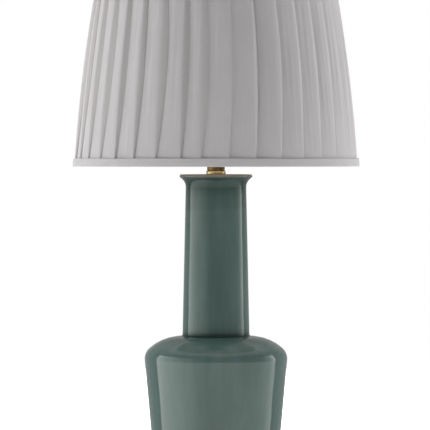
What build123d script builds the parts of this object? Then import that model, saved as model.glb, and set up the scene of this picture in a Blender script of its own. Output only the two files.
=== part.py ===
from build123d import *
import math
import os

# Table lamp: a bottle-form ceramic vase, a harp and a knife-pleated fabric shade.
# Millimetres, +Z up. The origin is on the table, under the middle of the vase's foot, and -Y is the
# front. Every turned piece is described by its half outline: pairs of radius and height.

# ---------------------------------------------------------------- driving dimensions
# Ceramic vase
FELT_THICKNESS = 2.0
FOOT_RADIUS = 84.8
FOOT_BEVEL = 3.0
SHOULDER_HEIGHT = 190.3        # where the body's side and the shoulder would meet, unrounded
BODY_TAPER = 0.0905            # outward growth of the body's side for each unit of height
SHOULDER_ROUNDING = 20.0
SHOULDER_CROWN = 4.7           # rise of the shoulder's arc over its chord
SHOULDER_RISE = 24.4           # from the shoulder's outer edge up to the neck
NECK_FOOT_RADIUS = 47.4
NECK_TOP_RADIUS = 42.7
NECK_LENGTH = 216.9            # from the shoulder to where the neck and the lip's flare would meet
FLARE_HEIGHT = 11.6            # from there to the top of the lip
FLARE_ROUNDING = 15.0
LIP_RADIUS = 51.5
LIP_EDGE = 3.7                 # height of the lip's outer edge
LIP_BEVELS = [(0.0, 2.2), (0.7, 0.7), (2.2, 0.0)]   # set in and down from the lip's sharp edge
MOUTH_RADIUS = 46.8            # of the mouth's conical seat, at the lip's top
VASE_WALL = 6.5
FLOOR_THICKNESS = 10.0
FOOT_RECESS = 22.0             # depth of the hollow under the floor
FOOT_RING_WIDTH = 13.0
MOUTH_SEAT_DROP = 5.5          # the cap's face lies this far below the lip's top

# Cord outlet at the back of the foot ring
CORD_HOLE_RADIUS = 6.0
CORD_BORE_RADIUS = 3.5
CORD_HOLE_HEIGHT = 13.0
BUSHING_FLANGE_RADIUS = 8.5
BUSHING_FLANGE_THICKNESS = 2.0

# Lamp pipe and its fastenings
PIPE_RADIUS = 4.9
PIPE_BORE_RADIUS = 3.3
PIPE_TAIL = 6.0                # below the bottom nut
PIPE_CLEARANCE = 0.25
NUT_ACROSS_FLATS = 14.3
BOTTOM_NUT_THICKNESS = 4.6
SADDLE_NUT_THICKNESS = 3.5
LOCK_WASHER_THICKNESS = 1.6
LOCK_WASHER_RADIUS = 8.2
LOCK_WASHER_GAP = 2.0
STEEL_WASHER_RADIUS = 19.0
STEEL_WASHER_THICKNESS = 1.8
RUBBER_WASHER_RADIUS = 17.0
RUBBER_WASHER_THICKNESS = 2.2

# Brass: cap in the mouth and neck above it
CAP_THICKNESS = 1.4
CAP_EDGE_LAND = 3.0
CAP_DISH = 2.0                 # the cap's middle stands this much over its edge
NECK_TUBE_RADIUS = 12.5
NECK_BEAD_RADIUS = 13.7
NECK_BEAD_HEIGHT = 5.6
NECK_BEAD_BEVEL = 1.6          # height of the bevels that stand for the bead's round
NECK_HEIGHT = 24.0
NECK_WALL = 1.6
NECK_TOP_PLATE = 2.4

# Harp
HARP_HEIGHT = 254.0            # saddle to the shade's seat
HARP_WIDTH = 114.0
HARP_WIRE_RADIUS = 1.7
HARP_FOOT_SPREAD = 60.0        # between the two feet
HARP_FOOT_EXTRA = 2.0          # the harp's flattened foot is this much taller than the ear
HARP_STRAIGHT = 38.0           # upright stretch above each foot
HARP_HIP_HEIGHT = 92.0         # where the harp becomes widest
HARP_HIP_LENGTH = 62.0
HARP_TOP_WIDTH = 34.0
HARP_BENDS = [30.0, 60.0, 90.0, 9.0]    # radii of the bends, from each foot up
WIRE_SIDES = 6                 # flats that stand for the round of a bent wire
SADDLE_THICKNESS = 1.8
SADDLE_WIDTH = 13.0
SADDLE_REACH = 4.8             # saddle's arm beyond the middle of each foot
EAR_WIDTH = 4.6
EAR_THICKNESS = 1.5
EAR_HEIGHT = 14.0
SLEEVE_RADIUS = 4.3
SLEEVE_WALL = 0.8
SLEEVE_LENGTH = 15.0
STUD_RADIUS = 3.1
STUD_LENGTH = 16.0
STUD_BLOCK_RADIUS = 6.0
STUD_BLOCK_HEIGHT = 8.0
STUD_FLANGE_RADIUS = 10.0
STUD_FLANGE_THICKNESS = 1.6

# Socket
SOCKET_CAP_HEIGHT = 24.0
SOCKET_HUB_RADIUS = 8.0
SOCKET_HUB_HEIGHT = 9.0
SOCKET_BELL_BEVEL = 2.0
SHEET_BRASS = 0.7
SHELL_RADIUS = 16.5
SHELL_HEIGHT = 46.0
SHELL_SEAT = 7.0               # the shell sits this deep in the socket's cap
SHELL_CLEARANCE = 0.2          # between the shell and the cap round it
SHELL_LEDGE = 2.0              # width of the shell's inward foot
SHELL_BEAD_DROP = 9.0          # rolled bead, below the shell's top
SHELL_BEAD_HALF = 1.6
SHELL_BEAD_RISE = 0.7
SPINDLE_NOTCH = 0.8            # room round the spindle in the shell and the liner
LINER_THICKNESS = 0.8
LINER_DROP = 1.0               # the liner ends this far below the shell's top
INTERIOR_CLEARANCE = 0.4       # between the interior and the liner
INTERIOR_HEIGHT = 19.0
INTERIOR_FLAT_DEPTH = 2.5      # of the flats cut for the terminals
INTERIOR_FLAT_HEIGHT = 10.4
WIRE_WELL_DEPTH = 6.0          # hole for the wires in the interior's foot
SCREW_SHELL_RADIUS = 14.2
SCREW_SHELL_WALL = 0.5
SCREW_SHELL_HEIGHT = 23.0
CONTACT_WIDTH = 5.0
CONTACT_THICKNESS = 0.6

# Turn knob on the socket's front
KNOB_RADIUS = 5.2
KNOB_COLLAR_RADIUS = 4.2
KNOB_LENGTH = 14.0
KNOB_COLLAR_LENGTH = 4.0
KNOB_NOSE = 1.2                # bevel of the outer end
KNOB_BORE_DEPTH = 8.4
KNOB_FLUTES = 12
KNOB_FLUTE_WIDTH = 1.6
KNOB_FLUTE_DEPTH = 0.7
KNOB_STANDOFF = 2.0
SPINDLE_RADIUS = 1.8
SPINDLE_CLEARANCE = 0.1
SPINDLE_END_GAP = 0.2
SPINDLE_DEPTH = 7.0            # how far the spindle goes into the interior

# Bulb
BULB_RADIUS = 30.0
BULB_LENGTH = 108.0
BULB_CAP_RADIUS = 13.1
BULB_CAP_FOOT_RADIUS = 9.7
BULB_CAP_HEIGHT = 21.0
BULB_CAP_LAND = 1.6            # height of the cap's slope in to the insulator
BULB_SEAT_GAP = 0.3
BULB_TIP_RADIUS = 4.6
BULB_TIP_HEIGHT = 1.6
BULB_INSULATOR_HEIGHT = 3.4
BULB_HOUSING_HEIGHT = 34.0
BULB_HOUSING_RADIUS = 26.5
BULB_COLLAR_RADIUS = 15.0      # the housing's foot, over the cap
BULB_COLLAR_HEIGHT = 6.0
BULB_GLOBE_WALL = 1.5
BULB_BOARD_RADIUS = 19.0
BULB_BOARD_THICKNESS = 1.6

# Shade
SHADE_HEIGHT = 291.5
SHADE_RECESS = 24.3            # the hub lies this far under the shade's top
SHADE_BOTTOM_RADIUS = 201.0    # over the pleats' folds
SHADE_TOP_RADIUS = 163.4
SHADE_BOW = 4.7                # how far the side bulges beyond a straight cone
PLEATS = 36
PLEAT_PHASE = -3.0             # degrees from the front to the first fold
PLEAT_DRIFT = 1.2              # degrees that hand-laid folds stray from their even pitch
PLEAT_DRIFT_PERIODS = 3
PLEAT_STEP = 0.07              # share of a pleat's width that its fold takes to drop
PLEAT_DEPTH_RIM = 1.2          # fold height where the trim pins it down
PLEAT_DEPTH_MIDDLE = 3.6
COVER_THICKNESS = 0.9
COVER_SPANS = 7
LINING_SPANS = 3
TRIM_HEIGHT = 11.4
TRIM_PROUD = 2.4
TRIM_CORNER = 0.9              # thickness of the trim where it turns under the rim
TRIM_RETURN = 8.0              # how far it laps the lining inside
RING_RADIUS = 1.5              # of the wire
RIB_RADIUS = 1.1
RIBS = 8
FRAME_CLEARANCE = 0.3          # between the cover, the wires and the lining
LINING_THICKNESS = 0.7
SPIDER_ARMS = 3
SPIDER_ARM_RADIUS = 1.6
SPIDER_ARM_FLAT = 16.0         # level stretch next to the ring
SPIDER_ARM_LAP = 4.0           # the arms reach this far into the hub
SPIDER_BENDS = [8.0, 40.0]
HUB_RADIUS = 12.0
HUB_THICKNESS = 2.2
HUB_CLEARANCE = 0.35

# Finial
FINIAL_HEIGHT = 36.0
FINIAL_BASE_RADIUS = 7.0
FINIAL_BASE_HEIGHT = 5.0
FINIAL_BASE_LAND = 2.5         # upright part of the base's edge
FINIAL_WAIST_RADIUS = 4.4
FINIAL_WAIST_FOOT_RADIUS = 5.3
FINIAL_KNOB_FOOT_RADIUS = 4.9
FINIAL_KNOB_RADIUS = 8.5
FINIAL_THREAD_CLEARANCE = 0.1
FINIAL_END_GAP = 2.0

# ---------------------------------------------------------------- levels worked out from them
vase_foot = FELT_THICKNESS
floor_under = vase_foot + FOOT_RECESS
floor_top = floor_under + FLOOR_THICKNESS
shoulder_radius = FOOT_RADIUS + BODY_TAPER * (SHOULDER_HEIGHT - vase_foot)
neck_foot = SHOULDER_HEIGHT + SHOULDER_RISE
neck_top = neck_foot + NECK_LENGTH
lip_top = neck_top + FLARE_HEIGHT
cap_face = lip_top - MOUTH_SEAT_DROP + CAP_DISH
saddle_under = cap_face + NECK_HEIGHT
saddle_top = saddle_under + SADDLE_THICKNESS
socket_foot = saddle_top + SADDLE_NUT_THICKNESS
shell_foot = socket_foot + SOCKET_CAP_HEIGHT - SHELL_SEAT
shell_top = shell_foot + SHELL_HEIGHT
interior_foot = shell_foot + SHEET_BRASS
interior_top = interior_foot + INTERIOR_HEIGHT
contact_top = interior_top + CONTACT_THICKNESS
bulb_foot = contact_top + BULB_SEAT_GAP
knob_height = interior_foot + INTERIOR_HEIGHT / 2
socket_cap_radius = SHELL_RADIUS + SHELL_CLEARANCE + SHEET_BRASS
interior_radius = SHELL_RADIUS - SHEET_BRASS - LINER_THICKNESS - INTERIOR_CLEARANCE
harp_top = saddle_top + HARP_HEIGHT
hub_top = harp_top + HUB_THICKNESS
shade_top = hub_top + SHADE_RECESS
shade_bottom = shade_top - SHADE_HEIGHT
cover_foot = shade_bottom + TRIM_CORNER
cover_top = shade_top - TRIM_CORNER
cover_drop = PLEAT_DEPTH_MIDDLE + COVER_THICKNESS      # pleats' folds to the cover's back
wire_drop = cover_drop + FRAME_CLEARANCE + RING_RADIUS  # folds to the middle of the frame's wires
lining_drop = wire_drop + RING_RADIUS + FRAME_CLEARANCE
bottom_ring_height = shade_bottom + TRIM_CORNER + RING_RADIUS
top_ring_height = shade_top - TRIM_CORNER - RING_RADIUS

nodes = {}


# ---------------------------------------------------------------- ways of making a shape
def spun(outline):
    """Solid of revolution about Z from a closed half outline of (radius, height)."""
    return revolve(make_face(Plane.XZ * outline), Axis.Z)


def turned(corners):
    """Solid of revolution about Z from the corners of its half outline."""
    return spun(Polyline(*corners, close=True))


def drum(radius, low, high):
    """Solid cylinder about Z between two heights."""
    return Pos(0, 0, low) * Cylinder(radius, high - low, align=(Align.CENTER, Align.CENTER, Align.MIN))


def washer(radius, hole, low, thickness):
    """Flat ring about Z, from the height low upwards."""
    return turned([(hole, low), (radius, low), (radius, low + thickness), (hole, low + thickness)])


def bar(radius, length, place):
    """Round bar that starts at the location's origin and runs along its Z."""
    return place * Cylinder(radius, length, align=(Align.CENTER, Align.CENTER, Align.MIN))


def block(size, low_corner):
    """Box from its lowest corner."""
    return Pos(*low_corner) * Box(*size, align=(Align.MIN, Align.MIN, Align.MIN))


def hex_nut(across_flats, hole, low, thickness):
    """Hexagonal nut about Z."""
    outline = RegularPolygon(across_flats / 2, 6, major_radius=False) - Circle(hole)
    return Pos(0, 0, low) * extrude(outline, thickness)


def wire_section(radius):
    """Cross-section of a wire, its round drawn with flats."""
    return RegularPolygon(radius, WIRE_SIDES)


def wire_ring(ring_radius, wire_radius, height):
    """Ring of wire about Z, corners of its section up and down."""
    section = Pos(ring_radius, height) * Rot(Z=90) * wire_section(wire_radius)
    return revolve(Plane.XZ * section, Axis.Z)


def wire_along(route, radius):
    """Wire along a route drawn in the XZ plane."""
    path = Plane.XZ * route
    return sweep(Plane(origin=path @ 0, x_dir=(0, 1, 0), z_dir=path % 0) * wire_section(radius), path=path)


def keep(name, shape):
    """Files a finished piece under its name."""
    nodes[name] = shape


# ---------------------------------------------------------------- ceramic vase
def vase_outline(inset, foot, upper):
    """Half outline of the vase, closed along the axis, its walls set in by inset. The body's side is
    straight, the shoulder is a crowned arc and the neck tapers. foot holds the corners from the axis
    to the side, and upper those from the top of the neck back to the axis."""
    shoulder = (shoulder_radius - inset, SHOULDER_HEIGHT - inset)
    neck = (NECK_FOOT_RADIUS - inset, neck_foot - inset)
    crown = SagittaArc(shoulder, neck, -SHOULDER_CROWN)
    return make_face(Polyline(*foot, shoulder) + crown + Polyline(neck, *upper, foot[0]))


def side_radius(height):
    """Radius of the body's side at a height."""
    return FOOT_RADIUS + BODY_TAPER * (height - vase_foot)


def vase_outside():
    """Outer form, with the rounded shoulder and the everted lip."""
    edge = vase_foot + FOOT_BEVEL
    foot = [(0, vase_foot), (FOOT_RADIUS - FOOT_BEVEL, vase_foot), (side_radius(edge), edge)]
    throat = (NECK_TOP_RADIUS, neck_top)
    lip = [(LIP_RADIUS - inward, lip_top - down) for inward, down in LIP_BEVELS]
    upper = [throat, (LIP_RADIUS, lip_top - LIP_EDGE), *lip, (0, lip_top)]
    outline = vase_outline(0, foot, upper)
    rounding = [((shoulder_radius, SHOULDER_HEIGHT), SHOULDER_ROUNDING), (throat, FLARE_ROUNDING)]
    for corner, radius in rounding:
        outline = fillet(outline.vertices().sort_by_distance(Vertex(*corner, 0))[0], radius)
    return revolve(Plane.XZ * outline, Axis.Z)


def vase_inside():
    """Hollow, with a 45 degree seat for the cap in the mouth."""
    foot = [(0, floor_top), (side_radius(floor_top) - VASE_WALL, floor_top)]
    throat_radius = NECK_TOP_RADIUS - VASE_WALL
    throat = (throat_radius, lip_top - (MOUTH_RADIUS - throat_radius))
    outline = vase_outline(VASE_WALL, foot, [throat, (MOUTH_RADIUS, lip_top), (0, lip_top)])
    return revolve(Plane.XZ * outline, Axis.Z)


def mouth_radius(height):
    """Radius of the mouth's seat at a height."""
    return MOUTH_RADIUS - (lip_top - height)


def make_vase():
    """Hollow casting: outer form less inner form, a hollow under the floor, and its two holes."""
    recess = drum(FOOT_RADIUS - FOOT_RING_WIDTH, 0, floor_under)
    pipe_hole = drum(PIPE_RADIUS + PIPE_CLEARANCE, 0, floor_top + FLOOR_THICKNESS)
    return vase_outside() - vase_inside() - recess - pipe_hole - cord_channel(CORD_HOLE_RADIUS)


def cord_channel(radius):
    """Bar through the back of the foot ring, for the cord hole."""
    return bar(radius, FOOT_RADIUS, Pos(0, FOOT_RADIUS / 2, vase_foot + CORD_HOLE_HEIGHT) * Rot(X=-90))


def make_bushing():
    """Bushing in the cord hole: a tube that stands out a little inside the foot ring, and a flange
    outside that is fitted to the vase's wall."""
    height = vase_foot + CORD_HOLE_HEIGHT
    outside = side_radius(height)
    start = FOOT_RADIUS - FOOT_RING_WIDTH - BUSHING_FLANGE_THICKNESS
    end = outside + BUSHING_FLANGE_THICKNESS
    tube = bar(CORD_HOLE_RADIUS, end - start, Pos(0, start, height) * Rot(X=-90))
    flange_place = Pos(0, outside - BUSHING_FLANGE_THICKNESS, height) * Rot(X=-90)
    flange = bar(BUSHING_FLANGE_RADIUS, 2 * BUSHING_FLANGE_THICKNESS, flange_place) - vase_outside()
    return tube + flange - cord_channel(CORD_BORE_RADIUS)


# ---------------------------------------------------------------- under the floor
def make_felt():
    """Felt disc under the foot ring, inside the foot's bevelled edge."""
    return drum(FOOT_RADIUS - FOOT_BEVEL, 0, FELT_THICKNESS)


def make_lock_washer(low):
    """Spring washer: a flat ring, split."""
    ring = washer(LOCK_WASHER_RADIUS, PIPE_RADIUS + PIPE_CLEARANCE, low, LOCK_WASHER_THICKNESS)
    split = block(
        (LOCK_WASHER_RADIUS, LOCK_WASHER_GAP, LOCK_WASHER_THICKNESS + 2),
        (PIPE_RADIUS * 0.5, -LOCK_WASHER_GAP / 2, low - 1),
    )
    return ring - split


def make_floor_fastening():
    """Rubber washer, steel washer, lock washer and nut, hanging below the vase's floor in that order."""
    hole = PIPE_RADIUS + PIPE_CLEARANCE
    rubber_low = floor_under - RUBBER_WASHER_THICKNESS
    steel_low = rubber_low - STEEL_WASHER_THICKNESS
    lock_low = steel_low - LOCK_WASHER_THICKNESS
    nut_low = lock_low - BOTTOM_NUT_THICKNESS
    keep("bottom_rubber_washer", washer(RUBBER_WASHER_RADIUS, hole, rubber_low, RUBBER_WASHER_THICKNESS))
    keep("bottom_steel_washer", washer(STEEL_WASHER_RADIUS, hole, steel_low, STEEL_WASHER_THICKNESS))
    keep("bottom_lock_washer", make_lock_washer(lock_low))
    keep("bottom_hex_nut", hex_nut(NUT_ACROSS_FLATS, PIPE_RADIUS, nut_low, BOTTOM_NUT_THICKNESS))
    return nut_low


def make_pipe(low):
    """Hollow lamp pipe from below the bottom nut up into the socket's hub."""
    return washer(PIPE_RADIUS, PIPE_BORE_RADIUS, low, socket_foot + SOCKET_HUB_HEIGHT - low)


# ---------------------------------------------------------------- brass cap and neck
def make_vase_cap():
    """Spun disc that closes the mouth. Its edge lies on the mouth's conical seat, and it rises in a
    low dish to the flat that carries the neck."""
    edge_face = cap_face - CAP_DISH
    edge_low = edge_face - CAP_THICKNESS
    land = NECK_BEAD_RADIUS + 2
    hole = PIPE_RADIUS + PIPE_CLEARANCE
    return turned(
        [
            (hole, cap_face - CAP_THICKNESS),
            (land, cap_face - CAP_THICKNESS),
            (mouth_radius(edge_low) - CAP_EDGE_LAND, edge_low),
            (mouth_radius(edge_low), edge_low),
            (mouth_radius(edge_face), edge_face),
            (mouth_radius(edge_face) - CAP_EDGE_LAND, edge_face),
            (land, cap_face),
            (hole, cap_face),
        ]
    )


def make_brass_neck():
    """Turned and hollow: a bead at the foot, a straight tube, and a plate that the pipe passes
    through."""
    bead_top = cap_face + NECK_BEAD_HEIGHT
    plate_under = saddle_under - NECK_TOP_PLATE
    hollow = NECK_TUBE_RADIUS - NECK_WALL
    hole = PIPE_RADIUS + PIPE_CLEARANCE
    return turned(
        [
            (hollow, cap_face),
            (NECK_TUBE_RADIUS, cap_face),
            (NECK_BEAD_RADIUS, cap_face + NECK_BEAD_BEVEL),
            (NECK_BEAD_RADIUS, bead_top - NECK_BEAD_BEVEL),
            (NECK_TUBE_RADIUS, bead_top),
            (NECK_TUBE_RADIUS, saddle_under),
            (hole, saddle_under),
            (hole, plate_under),
            (hollow, plate_under),
        ]
    )


# ---------------------------------------------------------------- harp
foot_middle = HARP_FOOT_SPREAD / 2
leg_middle = foot_middle + EAR_THICKNESS / 2      # the harp's wire, just outside the saddle's ear
ear_middle = foot_middle - EAR_THICKNESS / 2


def make_saddle():
    """Formed strip clamped under the socket, with an upright ear at each end."""
    reach = foot_middle + SADDLE_REACH
    strip = block((2 * reach, SADDLE_WIDTH, SADDLE_THICKNESS), (-reach, -SADDLE_WIDTH / 2, saddle_under))
    strip = fillet(strip.edges().filter_by(Axis.Z), SADDLE_WIDTH * 0.3)
    ears = [
        block(
            (EAR_THICKNESS, EAR_WIDTH, EAR_HEIGHT + SADDLE_THICKNESS / 2),
            (side * ear_middle - EAR_THICKNESS / 2, -EAR_WIDTH / 2, saddle_top - SADDLE_THICKNESS / 2),
        )
        for side in (-1, 1)
    ]
    hole = bar(PIPE_RADIUS + PIPE_CLEARANCE, SADDLE_THICKNESS + 2, Pos(0, 0, saddle_under - 1))
    return strip + ears[0] + ears[1] - hole


def make_harp():
    """Bent wire with flattened feet. It rises upright from the saddle, bows out to its widest, and
    runs in to the block at the top."""
    half = HARP_WIDTH / 2
    hip = saddle_top + HARP_HIP_HEIGHT
    run_height = harp_top - STUD_FLANGE_THICKNESS - STUD_BLOCK_HEIGHT / 2
    right = [
        (leg_middle, saddle_top + EAR_HEIGHT + HARP_FOOT_EXTRA / 2),
        (leg_middle, saddle_top + HARP_STRAIGHT),
        (half, hip),
        (half, hip + HARP_HIP_LENGTH),
        (HARP_TOP_WIDTH / 2, run_height),
    ]
    left = [(-x, z) for x, z in reversed(right)]
    route = FilletPolyline(*right, *left, radius=HARP_BENDS + HARP_BENDS[::-1])
    wire = wire_along(route, HARP_WIRE_RADIUS)
    for side in (-1, 1):
        foot = block(
            (EAR_THICKNESS, EAR_WIDTH, EAR_HEIGHT + HARP_FOOT_EXTRA),
            (side * leg_middle - EAR_THICKNESS / 2, -EAR_WIDTH / 2, saddle_top),
        )
        wire = wire + foot
    return wire


def make_harp_stud():
    """Turned block that the harp's wire passes through, with the flange that the shade sits on and
    the stud that the finial screws on to."""
    flange_low = harp_top - STUD_FLANGE_THICKNESS
    block_low = flange_low - STUD_BLOCK_HEIGHT
    body = turned(
        [
            (0, block_low),
            (STUD_BLOCK_RADIUS, block_low),
            (STUD_BLOCK_RADIUS, flange_low),
            (STUD_FLANGE_RADIUS, flange_low),
            (STUD_FLANGE_RADIUS, harp_top),
            (STUD_RADIUS, harp_top),
            (STUD_RADIUS, harp_top + STUD_LENGTH),
            (0, harp_top + STUD_LENGTH),
        ]
    )
    return body - make_harp()


def make_sleeve(side):
    """Tube that holds the harp's foot against the saddle's ear."""
    return Pos(side * foot_middle, 0, 0) * washer(
        SLEEVE_RADIUS, SLEEVE_RADIUS - SLEEVE_WALL, saddle_top, SLEEVE_LENGTH
    )


# ---------------------------------------------------------------- socket
def make_socket_cap():
    """Spun cup: a hub on the pipe, a bell and a straight rim that takes the shell."""
    floor = socket_foot + SOCKET_HUB_HEIGHT
    high = socket_foot + SOCKET_CAP_HEIGHT
    bell_inner = socket_cap_radius - SHEET_BRASS
    inner_corner = shell_foot - 2 * SHEET_BRASS
    return turned(
        [
            (PIPE_RADIUS, socket_foot),
            (SOCKET_HUB_RADIUS, socket_foot),
            (SOCKET_HUB_RADIUS, floor - SHEET_BRASS),
            (socket_cap_radius - SOCKET_BELL_BEVEL, inner_corner - SOCKET_BELL_BEVEL),
            (socket_cap_radius, inner_corner),
            (socket_cap_radius, high),
            (bell_inner, high),
            (bell_inner, inner_corner),
            (PIPE_RADIUS, floor),
        ]
    )


def spindle_way(radius):
    """Bar from the interior's middle out to the front, for the knob's spindle and its holes."""
    start = -interior_radius + SPINDLE_DEPTH
    return bar(radius, SHELL_RADIUS + SPINDLE_DEPTH, Pos(0, start, knob_height) * Rot(X=90))


def make_shell():
    """Outer shell: a drawn tube with an inward foot, a rolled bead and a round hole for the
    spindle."""
    inner = SHELL_RADIUS - SHEET_BRASS
    bead = shell_top - SHELL_BEAD_DROP
    shell = turned(
        [
            (inner - SHELL_LEDGE, shell_foot),
            (SHELL_RADIUS, shell_foot),
            (SHELL_RADIUS, bead - SHELL_BEAD_HALF),
            (SHELL_RADIUS + SHELL_BEAD_RISE, bead),
            (SHELL_RADIUS, bead + SHELL_BEAD_HALF),
            (SHELL_RADIUS, shell_top),
            (inner, shell_top),
            (inner, interior_foot),
            (inner - SHELL_LEDGE, interior_foot),
        ]
    )
    return shell - spindle_way(SPINDLE_RADIUS + SPINDLE_NOTCH)


def make_liner():
    """Card tube that insulates the live parts from the shell."""
    outer = SHELL_RADIUS - SHEET_BRASS
    liner = washer(outer, outer - LINER_THICKNESS, interior_foot, shell_top - interior_foot - LINER_DROP)
    return liner - spindle_way(SPINDLE_RADIUS + SPINDLE_NOTCH)


def make_interior():
    """Moulded insulator: a drum with a well for the wires, the spindle's bore, and two flats for the
    wires' terminals."""
    body = drum(interior_radius, interior_foot, interior_top)
    for side in (-1, 1):
        outer = side * (interior_radius - INTERIOR_FLAT_DEPTH / 2)
        flat = block(
            (INTERIOR_FLAT_DEPTH, 2 * interior_radius, INTERIOR_FLAT_HEIGHT),
            (outer - INTERIOR_FLAT_DEPTH / 2, -interior_radius, interior_foot),
        )
        body = body - flat
    well = drum(PIPE_BORE_RADIUS, interior_foot, interior_foot + WIRE_WELL_DEPTH)
    return body - well - spindle_way(SPINDLE_RADIUS + SPINDLE_CLEARANCE)


def make_screw_shell():
    """Threaded shell, shown as its crest-to-crest tube with an inward floor."""
    inner = SCREW_SHELL_RADIUS - SCREW_SHELL_WALL
    floor_hole = BULB_CAP_FOOT_RADIUS - 2 * SCREW_SHELL_WALL
    high = interior_top + SCREW_SHELL_HEIGHT
    return turned(
        [
            (floor_hole, interior_top),
            (SCREW_SHELL_RADIUS, interior_top),
            (SCREW_SHELL_RADIUS, high),
            (inner, high),
            (inner, interior_top + SCREW_SHELL_WALL),
            (floor_hole, interior_top + SCREW_SHELL_WALL),
        ]
    )


def make_centre_contact():
    """Brass tongue under the bulb's tip, on the drum."""
    size = (2 * BULB_TIP_RADIUS, CONTACT_WIDTH, CONTACT_THICKNESS)
    return block(size, (-BULB_TIP_RADIUS, -CONTACT_WIDTH / 2, interior_top))


def make_knob():
    """Moulded knob on the spindle: a plain collar, flutes all round and a bevelled nose."""
    stub = turned(
        [
            (0, 0),
            (KNOB_COLLAR_RADIUS, 0),
            (KNOB_RADIUS, KNOB_COLLAR_LENGTH),
            (KNOB_RADIUS, KNOB_LENGTH - KNOB_NOSE),
            (KNOB_RADIUS - KNOB_NOSE, KNOB_LENGTH),
            (0, KNOB_LENGTH),
        ]
    )
    outside = KNOB_RADIUS + KNOB_FLUTE_DEPTH
    corners = [
        (KNOB_RADIUS - KNOB_FLUTE_DEPTH, 0),
        (outside, KNOB_FLUTE_WIDTH),
        (outside, -KNOB_FLUTE_WIDTH),
    ]
    groove = Polygon(*corners, align=None)
    flutes = [Rot(Z=360 / KNOB_FLUTES * i) * groove for i in range(KNOB_FLUTES)]
    stub = stub - Pos(0, 0, KNOB_COLLAR_LENGTH) * extrude(Sketch() + flutes, KNOB_LENGTH)
    stub = stub - drum(SPINDLE_RADIUS, 0, KNOB_BORE_DEPTH)
    return Pos(0, -SHELL_RADIUS - KNOB_STANDOFF, knob_height) * Rot(X=90) * stub


def make_spindle():
    """Brass rod from the switch inside the drum into the knob."""
    start = -interior_radius + SPINDLE_DEPTH - SPINDLE_END_GAP
    length = start + SHELL_RADIUS + KNOB_STANDOFF + KNOB_BORE_DEPTH
    return bar(SPINDLE_RADIUS, length, Pos(0, start, knob_height) * Rot(X=90))


# ---------------------------------------------------------------- bulb
def make_bulb():
    """Lamp bulb in the socket: centre tip, insulator, threaded cap, housing, light board, globe."""
    tip_top = bulb_foot + BULB_TIP_HEIGHT
    cap_foot = tip_top + BULB_INSULATOR_HEIGHT
    cap_top = cap_foot + BULB_CAP_HEIGHT
    housing_top = cap_top + BULB_HOUSING_HEIGHT
    insulator = [(0, tip_top), (BULB_TIP_RADIUS, tip_top), (BULB_CAP_FOOT_RADIUS, cap_foot), (0, cap_foot)]
    keep("bulb_tip", drum(BULB_TIP_RADIUS, bulb_foot, tip_top))
    keep("bulb_insulator", turned(insulator))
    keep("bulb_screw_cap", make_screw_cap(cap_foot, cap_top))
    keep("bulb_housing", make_housing(cap_top, housing_top))
    keep("bulb_light_board", drum(BULB_BOARD_RADIUS, housing_top, housing_top + BULB_BOARD_THICKNESS))
    keep("bulb_globe", make_globe(housing_top))


def make_screw_cap(low, high):
    """Screw cap, shown as its crest-to-crest cylinder."""
    land = low + BULB_CAP_LAND
    return turned(
        [(0, low), (BULB_CAP_FOOT_RADIUS, low), (BULB_CAP_RADIUS, land), (BULB_CAP_RADIUS, high), (0, high)]
    )


def make_housing(low, high):
    """Flared housing between the cap and the globe."""
    return turned(
        [
            (0, low),
            (BULB_COLLAR_RADIUS, low),
            (BULB_COLLAR_RADIUS, low + BULB_COLLAR_HEIGHT),
            (BULB_HOUSING_RADIUS, high),
            (0, high),
        ]
    )


def globe_outline(inset, low):
    """Half outline of the globe: an arc from its rim out past its widest, and a round dome."""
    rim = (BULB_HOUSING_RADIUS - inset, low)
    middle = bulb_foot + BULB_LENGTH - BULB_RADIUS
    reach = BULB_RADIUS - inset
    dome = CenterArc((0, middle), reach, 0, 90)
    side = TangentArc(dome @ 0, rim, tangent=(0, -1))
    return make_face(side + dome + Polyline(dome @ 1, (0, low), rim))


def make_globe(low):
    """Hollow globe on the housing's rim."""
    outer = revolve(Plane.XZ * globe_outline(0, low), Axis.Z)
    inner = revolve(Plane.XZ * globe_outline(BULB_GLOBE_WALL, low), Axis.Z)
    return outer - inner


# ---------------------------------------------------------------- shade
def shade_radius(height):
    """Radius over the pleats' folds: a straight cone with a bow, greatest at mid-height."""
    share = (height - shade_bottom) / SHADE_HEIGHT
    straight = SHADE_BOTTOM_RADIUS + (SHADE_TOP_RADIUS - SHADE_BOTTOM_RADIUS) * share
    return straight + SHADE_BOW * 4 * share * (1 - share)


def levels(low, high, spans):
    """Even heights from low to high."""
    return [low + (high - low) * i / spans for i in range(spans + 1)]


def make_lining():
    """Smooth bowed lining inside the wires, from the bottom ring to just under the spider's arms."""
    low = bottom_ring_height - RING_RADIUS
    high = top_ring_height - SPIDER_ARM_RADIUS - FRAME_CLEARANCE
    heights = levels(low, high, LINING_SPANS)
    outer = [(shade_radius(z) - lining_drop, z) for z in heights]
    inner = [(r - LINING_THICKNESS, z) for r, z in reversed(outer)]
    return turned(outer + inner)


def fold_angle(fold):
    """Degrees from the front to a fold. Folds keep an even pitch with a slow drift."""
    pitch = 360 / PLEATS
    drift = PLEAT_DRIFT * math.cos(math.radians(360 * PLEAT_DRIFT_PERIODS * (fold + 2) / PLEATS))
    return PLEAT_PHASE + pitch * fold - drift


def around(angle, radius, height):
    """Point at an angle in degrees from the front, -Y, towards +X."""
    turn = math.radians(angle)
    return (radius * math.sin(turn), -radius * math.cos(turn), height)


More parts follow.
